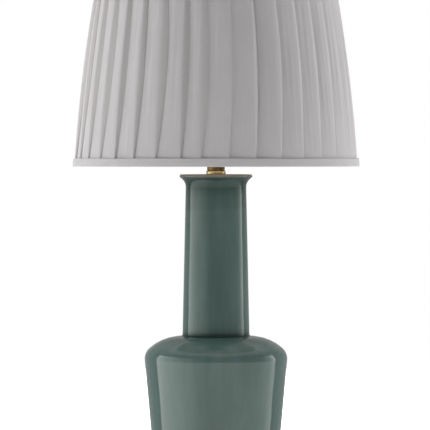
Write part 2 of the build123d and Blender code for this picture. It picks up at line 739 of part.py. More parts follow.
def pleat_section(height):
    """Cross-section through the knife pleats. Each panel climbs gently to its fold, which drops back
    at once to the next panel."""
    share = (height - cover_foot) / (cover_top - cover_foot)
    swell = math.sin(math.pi * share) ** 0.7
    depth = PLEAT_DEPTH_RIM + (PLEAT_DEPTH_MIDDLE - PLEAT_DEPTH_RIM) * swell
    crest = shade_radius(height)
    corners = []
    for fold in range(PLEATS):
        here = fold_angle(fold)
        root = here + (fold_angle(fold + 1) - here) * PLEAT_STEP
        corners += [around(here, crest, height), around(root, crest - depth, height)]
    return make_face(Polyline(*corners, close=True))


def make_cover():
    """Pleated cover: the lofted pleats less the smooth form of their back."""
    heights = levels(cover_foot, cover_top, COVER_SPANS)
    pleats = loft([pleat_section(z) for z in heights], ruled=True)
    back = [(shade_radius(z) - cover_drop, z) for z in heights]
    return pleats - turned([(0, cover_foot)] + back + [(0, cover_top)])


def make_trim(edge, inward):
    """Binding folded over a rim: a padded band outside, a thin return inside, and the turn between
    them at the rim's edge. inward is the direction from the edge into the shade, 1 up or -1 down."""
    far = edge + inward * TRIM_HEIGHT
    near = edge + inward * TRIM_CORNER
    back = edge + inward * TRIM_RETURN
    lap = lining_drop + LINING_THICKNESS + FRAME_CLEARANCE
    corners = [
        (shade_radius(edge) + TRIM_PROUD, edge),
        (shade_radius(far) + TRIM_PROUD, far),
        (shade_radius(far) + FRAME_CLEARANCE, far),
        (shade_radius(near) + FRAME_CLEARANCE, near),
        (shade_radius(near) - lap, near),
        (shade_radius(back) - lap, back),
        (shade_radius(back) - lap - LINING_THICKNESS, back),
        (shade_radius(edge) - lap - LINING_THICKNESS, edge),
    ]
    return turned(corners)


def frame_radius(height):
    """Middle of the wires between the cover and the lining."""
    return shade_radius(height) - wire_drop


def frame_ring(height):
    """Wire ring of the frame at a height."""
    return wire_ring(frame_radius(height), RING_RADIUS, height)


def make_ribs():
    """Bowed wires from ring to ring, their ends shaped to the rings."""
    low = bottom_ring_height
    high = top_ring_height
    middle = (low + high) / 2
    bow = ThreePointArc(*[(frame_radius(z), z) for z in (low, middle, high)])
    rib = Rot(Z=180 / RIBS) * wire_along(bow, RIB_RADIUS)
    rib = rib - frame_ring(low) - frame_ring(high)
    return Compound([Rot(Z=360 / RIBS * i) * rib for i in range(RIBS)])


def make_spider():
    """Hub and arms: each arm leaves the top ring level and slopes down to the hub."""
    reach = frame_radius(top_ring_height) - RING_RADIUS
    arm_foot = harp_top + SPIDER_ARM_RADIUS
    route = FilletPolyline(
        (HUB_RADIUS - SPIDER_ARM_LAP, arm_foot),
        (HUB_RADIUS + SPIDER_ARM_LAP, arm_foot),
        (reach - SPIDER_ARM_FLAT, top_ring_height),
        (reach + RING_RADIUS, top_ring_height),
        radius=SPIDER_BENDS,
    )
    arm = wire_along(route, SPIDER_ARM_RADIUS) - frame_ring(top_ring_height)
    spider = washer(HUB_RADIUS, STUD_RADIUS + HUB_CLEARANCE, harp_top, HUB_THICKNESS)
    for place in arm_places():
        spider = spider + place * arm
    return spider


def arm_places():
    """Turns that put an arm, made along +X, in each arm's place."""
    return [Rot(Z=90 + 360 / SPIDER_ARMS * i) for i in range(SPIDER_ARMS)]


def make_top_trim():
    """Binding of the top rim, its return slit where the spider's arms pass."""
    trim = make_trim(shade_top, -1)
    half = SPIDER_ARM_RADIUS + FRAME_CLEARANCE
    reach = frame_radius(top_ring_height) - RING_RADIUS
    slit = block(
        (SPIDER_ARM_FLAT + RING_RADIUS, 2 * half, TRIM_HEIGHT - TRIM_CORNER),
        (reach - SPIDER_ARM_FLAT, -half, shade_top - TRIM_HEIGHT),
    )
    for place in arm_places():
        trim = trim - place * slit
    return trim


# ---------------------------------------------------------------- finial
def make_finial():
    """Turned brass finial: a round base on the hub, a waist and a ball knob, bored for the stud."""
    high = hub_top + FINIAL_HEIGHT
    knob_middle = high - FINIAL_KNOB_RADIUS
    knob_foot = knob_middle - math.sqrt(FINIAL_KNOB_RADIUS**2 - FINIAL_KNOB_FOOT_RADIUS**2)
    base_top = hub_top + FINIAL_BASE_HEIGHT
    waist = ThreePointArc(
        (FINIAL_WAIST_FOOT_RADIUS, base_top),
        (FINIAL_WAIST_RADIUS, (base_top + knob_foot) / 2),
        (FINIAL_KNOB_FOOT_RADIUS, knob_foot),
    )
    ball = ThreePointArc(waist @ 1, (FINIAL_KNOB_RADIUS, knob_middle), (0, high))
    base = Polyline(
        (0, high),
        (0, hub_top),
        (FINIAL_BASE_RADIUS, hub_top),
        (FINIAL_BASE_RADIUS, hub_top + FINIAL_BASE_LAND),
        waist @ 0,
    )
    bore_top = harp_top + STUD_LENGTH + FINIAL_END_GAP
    return spun(base + waist + ball) - drum(STUD_RADIUS + FINIAL_THREAD_CLEARANCE, hub_top, bore_top)


# ---------------------------------------------------------------- the lamp, piece by piece
keep("ceramic_vase", make_vase())
keep("foot_felt", make_felt())
keep("cord_bushing", make_bushing())
bottom_nut_foot = make_floor_fastening()
keep("lamp_pipe", make_pipe(bottom_nut_foot - PIPE_TAIL))
keep("vase_cap", make_vase_cap())
keep("brass_neck", make_brass_neck())

keep("harp_saddle", make_saddle())
keep("saddle_nut", hex_nut(NUT_ACROSS_FLATS, PIPE_RADIUS, saddle_top, SADDLE_NUT_THICKNESS))
keep("harp_wire", make_harp())
keep("harp_stud", make_harp_stud())
keep("harp_sleeve_left", make_sleeve(-1))
keep("harp_sleeve_right", make_sleeve(1))

keep("socket_cap", make_socket_cap())
keep("socket_shell", make_shell())
keep("socket_liner", make_liner())
keep("socket_interior", make_interior())
keep("socket_screw_shell", make_screw_shell())
keep("socket_centre_contact", make_centre_contact())
keep("switch_knob", make_knob())
keep("switch_spindle", make_spindle())
make_bulb()

keep("shade_spider", make_spider())
keep("shade_top_ring", frame_ring(top_ring_height))
keep("shade_bottom_ring", frame_ring(bottom_ring_height))
keep("shade_ribs", make_ribs())
keep("shade_lining", make_lining())
keep("shade_cover", make_cover())
keep("shade_trim_bottom", make_trim(shade_bottom, 1))
keep("shade_trim_top", make_top_trim())
keep("finial", make_finial())

os.makedirs("parts", exist_ok=True)
for name, shape in nodes.items():
    export_step(shape, f"parts/{name}.step")
print(len(nodes), "pieces, height", round(hub_top + FINIAL_HEIGHT, 1))
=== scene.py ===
import bmesh
import bpy
import math
import numpy as np
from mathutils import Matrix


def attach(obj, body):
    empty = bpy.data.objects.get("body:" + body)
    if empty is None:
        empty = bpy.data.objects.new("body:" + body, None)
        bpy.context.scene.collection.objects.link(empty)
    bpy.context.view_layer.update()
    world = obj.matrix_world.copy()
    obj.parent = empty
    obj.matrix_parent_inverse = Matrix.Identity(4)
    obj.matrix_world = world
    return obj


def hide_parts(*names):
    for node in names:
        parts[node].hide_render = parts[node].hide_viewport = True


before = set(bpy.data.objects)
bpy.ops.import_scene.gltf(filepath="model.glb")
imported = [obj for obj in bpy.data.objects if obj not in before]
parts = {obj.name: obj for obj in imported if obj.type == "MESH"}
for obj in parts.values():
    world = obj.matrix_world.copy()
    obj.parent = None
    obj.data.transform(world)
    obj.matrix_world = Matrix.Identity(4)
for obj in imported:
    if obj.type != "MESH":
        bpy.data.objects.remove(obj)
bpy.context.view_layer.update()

# ---------------------------------------------------------------- the room
# The lamp stands in a plain white studio, on white paper that also hangs behind it. It is seen a
# little from above, from just over the height of its shade's rim, and is lit by light walls on its
# left and right.
room = bpy.context.scene
room.view_settings.view_transform = "Standard"

camera = bpy.data.objects.new("camera", bpy.data.cameras.new("camera"))
room.collection.objects.link(camera)
room.camera = camera
camera.data.angle = math.radians(6.334)
camera.data.clip_end = 50
eye_height = 0.475
look_down = math.radians(0.9315)
camera.location = (-0.0014, -5.5, eye_height)
camera.rotation_euler = (math.pi / 2 - look_down, 0, 0)


def shader_nodes(tree):
    """Returns a short way of adding a node to a tree: its kind, its settings and its inputs."""

    def add(kind, settings=(), **inputs):
        node = tree.nodes.new("ShaderNode" + kind)
        for name, value in dict(settings).items():
            setattr(node, name, value)
        for name, value in inputs.items():
            key = int(name[1:]) if name[0] == "_" else name.replace("_", " ")
            if isinstance(value, bpy.types.NodeSocket):
                tree.links.new(value, node.inputs[key])
            else:
                node.inputs[key].default_value = value
        return node

    return add


def light_room(fill=0.06, soft=3.3, spread=0.38, table=0.92, left=1.00, rim=2.00, sky=0.95, key=0.98):
    """World light by direction: turn is the angle round from the viewer's side, rise the angle above
    the level. Matt surfaces see a little light all round and two broad soft walls. Gloss mirrors the
    pale table, a lamp wall on the left, two walls that brighten to their far edges and end at a
    middling height, and dim light high up that stops short of straight overhead."""
    world = bpy.data.worlds.new("studio")
    room.world = world
    world.use_nodes = True
    tree = world.node_tree
    tree.nodes.clear()
    add = shader_nodes(tree)

    def sums(operation, a, b=0.0, c=0.0):
        return add("Math", {"operation": operation}, _0=a, _1=b, _2=c).outputs[0]

    def step(value, low, high, most=1.0):
        smooth = {"interpolation_type": "SMOOTHSTEP"}
        return add("MapRange", smooth, _0=value, _1=low, _2=high, _4=most).outputs[0]

    way = add("SeparateXYZ", _0=add("TexCoord").outputs["Generated"])
    x, y, z = way.outputs

    def by_side(right, left):
        return add("MapRange", _0=x, _1=0.3, _2=-0.3, _3=right, _4=left).outputs[0]

    level = sums("SQRT", sums("ADD", sums("MULTIPLY", x, x), sums("MULTIPLY", y, y)))
    turn = sums("ARCTAN2", sums("ABSOLUTE", x), sums("MULTIPLY", y, -1.0))
    rise = sums("ARCTAN2", z, level)
    broad = sums("MULTIPLY", step(turn, by_side(0.88, 0.22), 1.60, soft), step(rise, 1.2, 0.7))
    broad = sums("MULTIPLY", broad, step(rise, -0.05, 0.45))
    matt = sums("MULTIPLY_ADD", broad, by_side(1.05, key), fill)
    lamp_wall = sums("MULTIPLY", step(turn, 0.20, 1.20, left), by_side(0.1, 1.0))
    wall_end, wall_top = 1.93, 0.41
    across = add("MapRange", _0=turn, _1=1.10, _2=wall_end).outputs[0]
    brighter = sums("POWER", across, by_side(3.6, 1.05))
    edge_light = step(rise, -0.30, 0.08, by_side(1.48 * rim, 0.74 * rim))
    strip = sums("MULTIPLY", brighter, edge_light)
    face = sums("ADD", sums("ADD", lamp_wall, strip), step(rise, -0.01, -0.11, table))
    below_top = step(rise, wall_top + 0.06, wall_top)
    within = sums("MULTIPLY", step(turn, wall_end + 0.06, wall_end), below_top)
    mirrored = sums("MULTIPLY_ADD", face, within, spread)
    overhead = sums("MULTIPLY", step(rise, 0.50, 1.20, sky), step(rise, 1.32, 1.12))
    mirrored = sums("ADD", mirrored, overhead)
    gloss = add("LightPath").outputs["Is Glossy Ray"]
    bright = add("Mix", {"data_type": "FLOAT"}, _0=gloss, _2=matt, _3=mirrored).outputs[0]
    lit = add("Background", Color=(1.0, 0.995, 0.99, 1), Strength=bright)
    paper = add("Background", Color=(1, 1, 1, 1), Strength=1.0)
    seen = add("LightPath").outputs["Is Camera Ray"]
    mixed = add("MixShader", _0=seen, _1=lit.outputs[0], _2=paper.outputs[0])
    add("OutputWorld", Surface=mixed.outputs[0])


light_room()


def put(name, *grids, smooth=True):
    """Makes one mesh object at the origin from grids, each an array of points and one of faces."""
    shift = np.cumsum([0] + [len(points) for points, _ in grids])
    points = np.concatenate([points for points, _ in grids])
    faces = np.concatenate([faces + start for (_, faces), start in zip(grids, shift)])
    mesh = bpy.data.meshes.new(name)
    mesh.from_pydata(points.tolist(), [], faces.tolist())
    mesh.polygons.foreach_set("use_smooth", np.full(len(mesh.polygons), smooth))
    piece = bpy.data.objects.new(name, mesh)
    room.collection.objects.link(piece)
    return piece


def finish(name, color, roughness, metallic=0.0, **fixed):
    """Starts a material: one Principled shader with its plain values. Returns the material, the
    shader and a way to add nodes."""
    material = bpy.data.materials.new(name)
    material.use_nodes = True
    tree = material.node_tree
    shader = tree.nodes["Principled BSDF"]
    shader.inputs["Base Color"].default_value = (*color, 1)
    shader.inputs["Roughness"].default_value = roughness
    shader.inputs["Metallic"].default_value = metallic
    for key, value in fixed.items():
        shader.inputs[key.replace("_", " ")].default_value = value
    return material, shader, shader_nodes(tree)


def lay_floor(half=3.0):
    """Square of white paper under the lamp. It glows, to stay white in the picture, and gloss
    doesn't mirror it."""
    square = np.array([(-1, -1), (1, -1), (1, 1), (-1, 1)]) * half
    corners = np.column_stack([square, np.full(4, -0.0005)])
    floor = put("floor", (corners, np.array([[0, 1, 2, 3]])), smooth=False)
    paper, shader, add = finish("white_paper", (0.85, 0.85, 0.85), 0.9)
    shader.inputs["Emission Color"].default_value = (1, 1, 1, 1)
    seen = add("LightPath").outputs["Is Camera Ray"]
    glow = add("Math", {"operation": "MULTIPLY_ADD"}, _0=seen, _1=1.0, _2=0.2)
    paper.node_tree.links.new(glow.outputs[0], shader.inputs["Emission Strength"])
    floor.data.materials.append(paper)
    floor.visible_glossy = False


lay_floor()

# ---------------------------------------------------------------- the ceramic vase
# One slip-cast stoneware body in the shape of a mallet bottle, dipped in a glossy grey-green glaze.
# The glaze runs thin and brownish over the lip's edge, lies thicker in a second dip below it,
# gathers dark in the neck's joint and is wiped off the foot ring. Painted shade also darkens the
# glaze and dims its reflections up the neck's top under the shade, in the neck's crease and over
# the shoulder's inner half.


def rounded(corners, closed=False, arc_step=math.radians(9)):
    """Line through corners (x, y, radius) with each corner replaced by an arc. The arc of radius r
    touches both runs at r * tan(half the turn) from the corner, and its centre lies on the corner's
    bisector."""
    table = np.array(corners, float)
    places, radii = table[:, :-1], table[:, -1]
    count = len(places)
    line = []
    for i, radius in enumerate(radii):
        here = places[i]
        if radius == 0 or (not closed and i in (0, count - 1)):
            line.append(here[None])
            continue
        back = places[i - 1] - here
        ahead = places[(i + 1) % count] - here
        back = back / np.linalg.norm(back)
        ahead = ahead / np.linalg.norm(ahead)
        turn = math.pi - math.acos(np.clip(back @ ahead, -1, 1))
        middle = (back + ahead) / np.linalg.norm(back + ahead)
        across = (ahead - back) / np.linalg.norm(ahead - back)
        centre = here + middle * radius / math.cos(turn / 2)
        swing = np.linspace(-turn / 2, turn / 2, max(3, int(turn / arc_step) + 2))[:, None]
        line.append(centre + radius * (np.sin(swing) * across - np.cos(swing) * middle))
    line = np.concatenate(line)
    return np.concatenate([line, line[:1]]) if closed else line


def spaced(line, step):
    """The same line with points added so that none of its runs is longer than a step."""
    runs = np.linalg.norm(np.diff(line, axis=0), axis=1)
    pieces = [
        np.linspace(a, b, max(1, math.ceil(run / step)), endpoint=False)
        for a, b, run in zip(line[:-1], line[1:], runs)
    ]
    return np.concatenate(pieces + [line[-1:]])


def grid_faces(rows, columns, wrap=True):
    """Quads of a grid of points stored row by row, joined round at its last column if it wraps."""
    row, column = np.meshgrid(np.arange(rows - 1), np.arange(columns - (not wrap)), indexing="ij")
    beside = (column + 1) % columns
    below, above = row * columns, (row + 1) * columns
    return np.stack([below + column, below + beside, above + beside, above + column], axis=2).reshape(-1, 4)


def lathe(line, around=192):
    """Surface of revolution about Z: the outline's point (r, z) at the angle a is
    (r sin a, -r cos a, z)."""
    angle = np.arange(around) * 2 * math.pi / around
    radius, height = line[:, :1], line[:, 1:]
    points = np.stack(
        [radius * np.sin(angle), -radius * np.cos(angle), height + 0 * angle], axis=2
    )
    return points.reshape(-1, 3), grid_faces(len(line), around)


def closed_up(piece, crease=math.radians(40), reach=1e-7):
    """Merges points that fall together, drops faces that vanish, turns all faces outwards, and marks
    edges that turn by more than the crease as sharp."""
    shape = bmesh.new()
    shape.from_mesh(piece.data)
    bmesh.ops.remove_doubles(shape, verts=shape.verts, dist=reach)
    bmesh.ops.dissolve_degenerate(shape, dist=reach, edges=shape.edges)
    bmesh.ops.recalc_face_normals(shape, faces=shape.faces)
    shape.to_mesh(piece.data)
    shape.free()
    piece.data.polygons.foreach_set("use_smooth", np.full(len(piece.data.polygons), True))
    piece.data.set_sharp_from_angle(angle=crease)
    return piece


def bored(piece, points, faces):
    """Takes a closed shape out of a piece, for a hole."""
    tool = closed_up(put("drill", (points, faces)))
    step = piece.modifiers.new("hole", "BOOLEAN")
    step.object = tool
    step.solver = "EXACT"
    cut = bpy.data.meshes.new_from_object(piece.evaluated_get(bpy.context.evaluated_depsgraph_get()))
    piece.modifiers.clear()
    piece.data = cut
    bpy.data.objects.remove(tool)
    cut.set_sharp_from_angle(angle=math.radians(40))
    return piece


def corner_values(piece, label, values):
    """Stores one number for each point of a piece, for its material to read."""
    store = piece.data.attributes.new(label, "FLOAT", "POINT")
    store.data.foreach_set("value", np.asarray(values, np.float32))


def points_of(piece):
    """The piece's points as an array."""
    flat = np.empty(3 * len(piece.data.vertices), np.float32)
    piece.data.vertices.foreach_get("co", flat)
    return flat.reshape(-1, 3)


def group(name, inputs, outputs):
    """Starts a shader group with named inputs and outputs. Returns it, its input node, a way to add
    nodes, and a way to give an output its value."""
    tree = bpy.data.node_groups.new(name, "ShaderNodeTree")
    for label, kind, value in inputs:
        socket = tree.interface.new_socket(label, in_out="INPUT", socket_type="NodeSocket" + kind)
        if value is not None:
            socket.default_value = value
    for label, kind in outputs:
        tree.interface.new_socket(label, in_out="OUTPUT", socket_type="NodeSocket" + kind)
    given = tree.nodes.new("NodeGroupInput")
    result = tree.nodes.new("NodeGroupOutput")

    def give(label, value):
        tree.links.new(value, result.inputs[label])

    return tree, given.outputs, shader_nodes(tree), give


def make_drift():
    """Slow change over a surface. Noise on the place divided by Size and squeezed by Stretch is
    spread from Low to High."""
    tree, given, add, give = group(
        "drift",
        [
            ("Place", "Vector", None),
            ("Size", "Float", 0.05),
            ("Stretch", "Vector", (1, 1, 1)),
            ("Low", "Float", 0.0),
            ("High", "Float", 1.0),
        ],
        [("Value", "Float")],
    )
    shrunk = add("VectorMath", {"operation": "MULTIPLY"}, _0=given["Place"], _1=given["Stretch"])
    times = add("Math", {"operation": "DIVIDE"}, _0=1.0, _1=given["Size"])
    noise = add("TexNoise", Vector=shrunk.outputs[0], Scale=times.outputs[0], Detail=3.0, Roughness=0.55)
    spread = add("MapRange", Value=noise.outputs[0], _1=0.3, _2=0.7, _3=given["Low"], _4=given["High"])
    give("Value", spread.outputs[0])
    return tree


drift = make_drift()


def glaze_material():
    """Grey-green glaze. Colour drifts between two greens in upright streaks, browns where the glaze
    is thin, and deepens and shines less where the glaze gathers and where shade is painted on;
    bare clay shows where it was wiped."""
    material, shader, add = finish(
        "celadon_glaze", (0.060, 0.105, 0.098), 0.06, IOR=1.52, Specular_Tint=(0.98, 1.0, 0.93, 1)
    )
    dark_green, light_green = (0.046, 0.087, 0.081, 1), (0.079, 0.130, 0.119, 1)
    thin_brown, pool_and_shade_green = (0.235, 0.208, 0.165, 1), (0.010, 0.026, 0.022, 1)
    bare_clay = (0.48, 0.42, 0.34, 1)
    place = add("TexCoord").outputs["Object"]
    streak = add("Group", {"node_tree": drift}, Place=place, Size=0.016, Stretch=(1, 1, 0.12))
    cloud = add("Group", {"node_tree": drift}, Place=place, Size=0.05, Stretch=(1, 1, 0.45))
    both = add("Mix", {"data_type": "FLOAT"}, _0=0.5, _2=streak.outputs[0], _3=cloud.outputs[0])
    green = add("Mix", {"data_type": "RGBA"}, _0=both.outputs[0], _6=dark_green, _7=light_green)
    thin = add("Attribute", {"attribute_name": "thin"}).outputs["Fac"]
    pooled = add("Attribute", {"attribute_name": "pooled"}).outputs["Fac"]
    bare = add("Attribute", {"attribute_name": "bare"}).outputs["Fac"]
    browned = add("Mix", {"data_type": "RGBA"}, _0=thin, _6=green.outputs[2], _7=thin_brown)
    pool_and_shade_mix = add("Mix", {"data_type": "RGBA"}, _0=pooled, _6=browned.outputs[2], _7=pool_and_shade_green)
    clay = add("Mix", {"data_type": "RGBA"}, _0=bare, _6=pool_and_shade_mix.outputs[2], _7=bare_clay)
    links = material.node_tree.links
    links.new(clay.outputs[2], shader.inputs["Base Color"])
    gloss = add("Group", {"node_tree": drift}, Place=place, Size=0.03, Low=0.035, High=0.075)
    rough = add("Mix", {"data_type": "FLOAT"}, _0=bare, _2=gloss.outputs[0], _3=0.85)
    links.new(rough.outputs[0], shader.inputs["Roughness"])
    # Painted shade: reflections dim where the glaze gathers and where shade is painted on.
    shine = add("MapRange", Value=pooled, _3=0.5, _4=0.06)
    links.new(shine.outputs[0], shader.inputs["Specular IOR Level"])
    swell = add("Group", {"node_tree": drift}, Place=place, Size=0.035, Stretch=(1, 1, 0.5))
    bump = add("Bump", Strength=0.3, Distance=0.0005, Height=swell.outputs[0])
    links.new(bump.outputs[0], shader.inputs["Normal"])
    return material


vase_wall = spaced(
    rounded(
        [
            (0.0848, 0.0020, 0.0030),
            (0.1018, 0.1903, 0.0200),
            (0.0785, 0.2113, 0.0650),
            (0.0474, 0.2147, 0.0028),
            (0.0427, 0.4316, 0.0150),
            (0.0515, 0.4395, 0.0013),
            (0.0515, 0.4432, 0.0022),
            (0.0468, 0.4432, 0.0012),
            (0.0362, 0.4326, 0.0080),
            (0.0409, 0.2082, 0.0080),
            (0.0953, 0.1838, 0.0140),
            (0.0813, 0.0340, 0.0090),
            (0.00515, 0.0340, 0.0010),
            (0.00515, 0.0240, 0.0004),
            (0.0718, 0.0240, 0.0030),
            (0.0718, 0.0020, 0.0010),
        ],
        closed=True,
    ),
    0.004,
)
vase = closed_up(put("vase", lathe(vase_wall)))


def cross_bar(radius, start, end, height, around=48):
    """Closed round bar along Y: rings of points at its ends, and a middle point beyond each."""
    line = np.array([(0, start), (radius, start), (radius, end), (0, end)])
    points, faces = lathe(line, around)
    return np.stack([points[:, 0], points[:, 2], height - points[:, 1]], axis=1), faces


cord_hole_radius = 0.006
cord_hole_height = 0.015
bored(vase, *cross_bar(cord_hole_radius, 0.065, 0.095, cord_hole_height))


def near(values, centre, reach):
    """One at the centre, falling smoothly to nothing at the reach."""
    away = np.clip(np.abs(values - centre) / reach, 0, 1)
    return (1 - away**2) ** 2


def eased(values, low, high):
    """Nothing up to low, one from high on, and a smooth climb between them."""
    share = np.clip((values - low) / (high - low), 0, 1)
    return share**2 * (3 - 2 * share)


# The glaze is thin over the lip, gathers in the neck's joint and lies thicker in the second dip,
# whose edge wavers round the neck. Painted shade darkens the glaze and dims its reflections in the
# neck's crease, over the shoulder's inner half and up the neck's top to the lip, under the shade.
# The foot ring and the hollow in it are bare.
vase_points = points_of(vase)
vase_radius = np.hypot(vase_points[:, 0], vase_points[:, 1])
vase_height = vase_points[:, 2]
vase_turn = np.arctan2(vase_points[:, 0], -vase_points[:, 1])
lip_top = 0.4440
neck_bore = 0.0405
lip_edge = near(vase_height, lip_top, 0.0080) * (vase_radius > 0.045)
# Glaze gathered in the neck's joint, deepened by painted shade in the crease.
joint_pool_and_shade = np.sqrt(near(vase_height, 0.2147, 0.0054) * near(vase_radius, 0.0494, 0.0072))
# The second dip's band has a wavering edge; above it painted shadow of the shade darkens to the lip.
dip_line = 0.3945 + 0.0015 * np.sin(3 * vase_turn + 1) + 0.0008 * np.sin(7 * vase_turn)
dip_and_shadow = 0.16 * eased(vase_height - dip_line, -0.0035, 0.0035)
dip_and_shadow = dip_and_shadow + 0.44 * eased(vase_height, 0.406, 0.433)
dip_and_shadow = dip_and_shadow * eased(0.4400 - vase_height, -0.0012, 0.0012) * (vase_radius > neck_bore)
# Painted shade over the shoulder's inner half, where the shade hides the room from the glaze.
shaded = 0.42 * eased(0.0840 - vase_radius, -0.010, 0.014) * near(vase_height, 0.2120, 0.0160)
foot_bare = np.maximum(vase_height < 0.0035, (vase_height < 0.0245) & (vase_radius < 0.0725))
corner_values(vase, "thin", lip_edge)
corner_values(vase, "pooled", np.maximum.reduce([joint_pool_and_shade, dip_and_shadow, shaded]))
corner_values(vase, "bare", foot_bare)
vase.data.materials.append(glaze_material())
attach(vase, "base")
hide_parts("ceramic_vase")

# ---------------------------------------------------------------- the felt under the foot
# Disc of dark wool felt, die-cut and glued under the foot ring to keep it off the table. Its edge is
# soft and a little fibrous.


def make_grain():
    """Fine even grain: noise on the place divided by Size, as a height from 0 to 1."""
    tree, given, add, give = group(
        "grain", [("Place", "Vector", None), ("Size", "Float", 0.001)], [("Height", "Float")]
    )
    times = add("Math", {"operation": "DIVIDE"}, _0=1.0, _1=given["Size"])
    noise = add("TexNoise", Vector=given["Place"], Scale=times.outputs[0], Detail=2.0)
    give("Height", noise.outputs[0])
    return tree


grain = make_grain()


def two_tone(name, low, high, roughness, size, grain_size, depth, **fixed):
    """Plain stuff: its colour drifts between two tones and its surface has a fine grain."""
    material, shader, add = finish(name, low, roughness, **fixed)
    links = material.node_tree.links
    place = add("TexCoord").outputs["Object"]
    tone = add("Group", {"node_tree": drift}, Place=place, Size=size)
    color = add("Mix", {"data_type": "RGBA"}, _0=tone.outputs[0], _6=(*low, 1), _7=(*high, 1))
    links.new(color.outputs[2], shader.inputs["Base Color"])
    rough = add("MapRange", Value=tone.outputs[0], _3=roughness * 0.9, _4=min(1.0, roughness * 1.1))
    links.new(rough.outputs[0], shader.inputs["Roughness"])
    fine = add("Group", {"node_tree": grain}, Place=place, Size=grain_size)
    bump = add("Bump", Strength=0.6, Distance=depth, Height=fine.outputs[0])
    links.new(bump.outputs[0], shader.inputs["Normal"])
    return material


felt_radius = 0.0818
felt_edge = rounded([(0, 0, 0), (felt_radius, 0, 0.0004), (felt_radius, 0.002, 0.0008), (0, 0.002, 0)])
felt = closed_up(put("felt_disc", lathe(spaced(felt_edge, 0.02), 128)))
felt.data.materials.append(
    two_tone("felt", (0.016, 0.022, 0.019), (0.026, 0.034, 0.030), 0.95, 0.004, 0.0003, 0.0003)
)
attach(felt, "base")
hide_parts("foot_felt")

# ---------------------------------------------------------------- what holds the vase to the pipe
# A threaded steel pipe runs up the lamp's middle. Under the vase's floor it carries a rubber washer,
# a steel washer, a split lock washer and a hexagonal nut. A moulded bushing lines the cord's hole.


def dress(material, *nodes):
    """Gives a material to nodes that keep the shape they have in the frame."""
    for node in nodes:
        for place in parts[node].material_slots:
            place.material = material
        if not parts[node].material_slots:
            parts[node].data.materials.append(material)


def bare_metal(name, color, stain, gloss, dull, size, marks=0.00001, rubbed_and_highlight=None):
    """Metal whose colour drifts towards a stain and whose roughness drifts from gloss to dull, with
    fine marks left by turning or drawing, level rings round Z. Where a piece's raised parts are
    marked, it shows the lighter colour instead: brass rubbed bright, and a painted highlight."""
    material, shader, add = finish(name, color, gloss, 1.0)
    links = material.node_tree.links
    place = add("TexCoord").outputs["Object"]
    tone = add("Group", {"node_tree": drift}, Place=place, Size=size)
    tint = add("Mix", {"data_type": "RGBA"}, _0=tone.outputs[0], _6=(*color, 1), _7=(*stain, 1))
    if rubbed_and_highlight:
        worn = add("Attribute", {"attribute_name": "worn"}).outputs["Fac"]
        tint = add("Mix", {"data_type": "RGBA"}, _0=worn, _6=tint.outputs[2], _7=(*rubbed_and_highlight, 1))
    links.new(tint.outputs[2], shader.inputs["Base Color"])
    blotch = add("Group", {"node_tree": drift}, Place=place, Size=size * 0.6, Low=gloss, High=dull)
    links.new(blotch.outputs[0], shader.inputs["Roughness"])
    rings = add("Group", {"node_tree": drift}, Place=place, Size=0.0009, Stretch=(0.02, 0.02, 1))
    bump = add("Bump", Strength=0.5, Distance=marks, Height=rings.outputs[0])
    links.new(bump.outputs[0], shader.inputs["Normal"])
    return material


zinc = bare_metal("zinc_steel", (0.50, 0.50, 0.51), (0.40, 0.39, 0.36), 0.30, 0.48, 0.012)
dress(zinc, "lamp_pipe", "bottom_steel_washer", "bottom_lock_washer", "bottom_hex_nut", "saddle_nut")
rubber = two_tone("rubber", (0.014, 0.014, 0.014), (0.022, 0.021, 0.020), 0.75, 0.01, 0.0005, 0.0001)
dress(rubber, "bottom_rubber_washer")
moulding = two_tone(
    "black_moulding", (0.010, 0.010, 0.011), (0.016, 0.015, 0.015), 0.34, 0.01, 0.0006, 0.00003
)
dress(moulding, "cord_bushing")

# ---------------------------------------------------------------- the cap and the brass neck
# A spun brass cap closes the vase's mouth and carries a short turned tube with a round bead at its
# foot. Both are antique brass: darkened and satin, and rubbed bright where they stand out. The dark
# colour is also painted shadow on the tube under the shade, and the bright bead is also a painted
# highlight.

# Dark antique brass, darkened further as painted shadow for the tube under the shade.
antique_and_shadow = bare_metal(
    "antique_brass",
    (0.20, 0.135, 0.055),
    (0.06, 0.038, 0.015),
    0.16,
    0.28,
    0.008,
    marks=0.00002,
    rubbed_and_highlight=(0.66, 0.49, 0.25),
)
neck_wall = spaced(
    rounded(
        [
            (0.0109, 0.4397, 0.0002),
            (0.0128, 0.4397, 0.0004),
            (0.0137, 0.4412, 0.0010),
            (0.0137, 0.4428, 0.0004),
            (0.0134, 0.4432, 0.0002),
            (0.0137, 0.4436, 0.0004),
            (0.0137, 0.4478, 0.0018),
            (0.0124, 0.4484, 0.0003),
            (0.0125, 0.4490, 0.0002),
            (0.0125, 0.4637, 0.0005),
            (0.00515, 0.4637, 0.0002),
            (0.00515, 0.4613, 0.0002),
            (0.0109, 0.4613, 0.0010),
        ],
        closed=True,
        arc_step=math.radians(12),
    ),
    0.002,
)
neck = closed_up(put("brass_tube", lathe(neck_wall, 96)))
neck_points = points_of(neck)
neck_radius = np.hypot(neck_points[:, 0], neck_points[:, 1])
# The bead is lighter: brass rubbed bright, and a painted highlight.
corner_values(neck, "worn", eased(neck_radius, 0.0127, 0.0137))
neck.data.materials.append(antique_and_shadow)
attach(neck, "base")
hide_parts("brass_neck")
dress(antique_and_shadow, "vase_cap")

# ---------------------------------------------------------------- the harp
# Brass-plated spring wire bent to a long loop, flattened at its two feet. The feet stand beside the
# saddle's ears, and a loose sleeve drops over each pair. A turned block at the top has the stud.


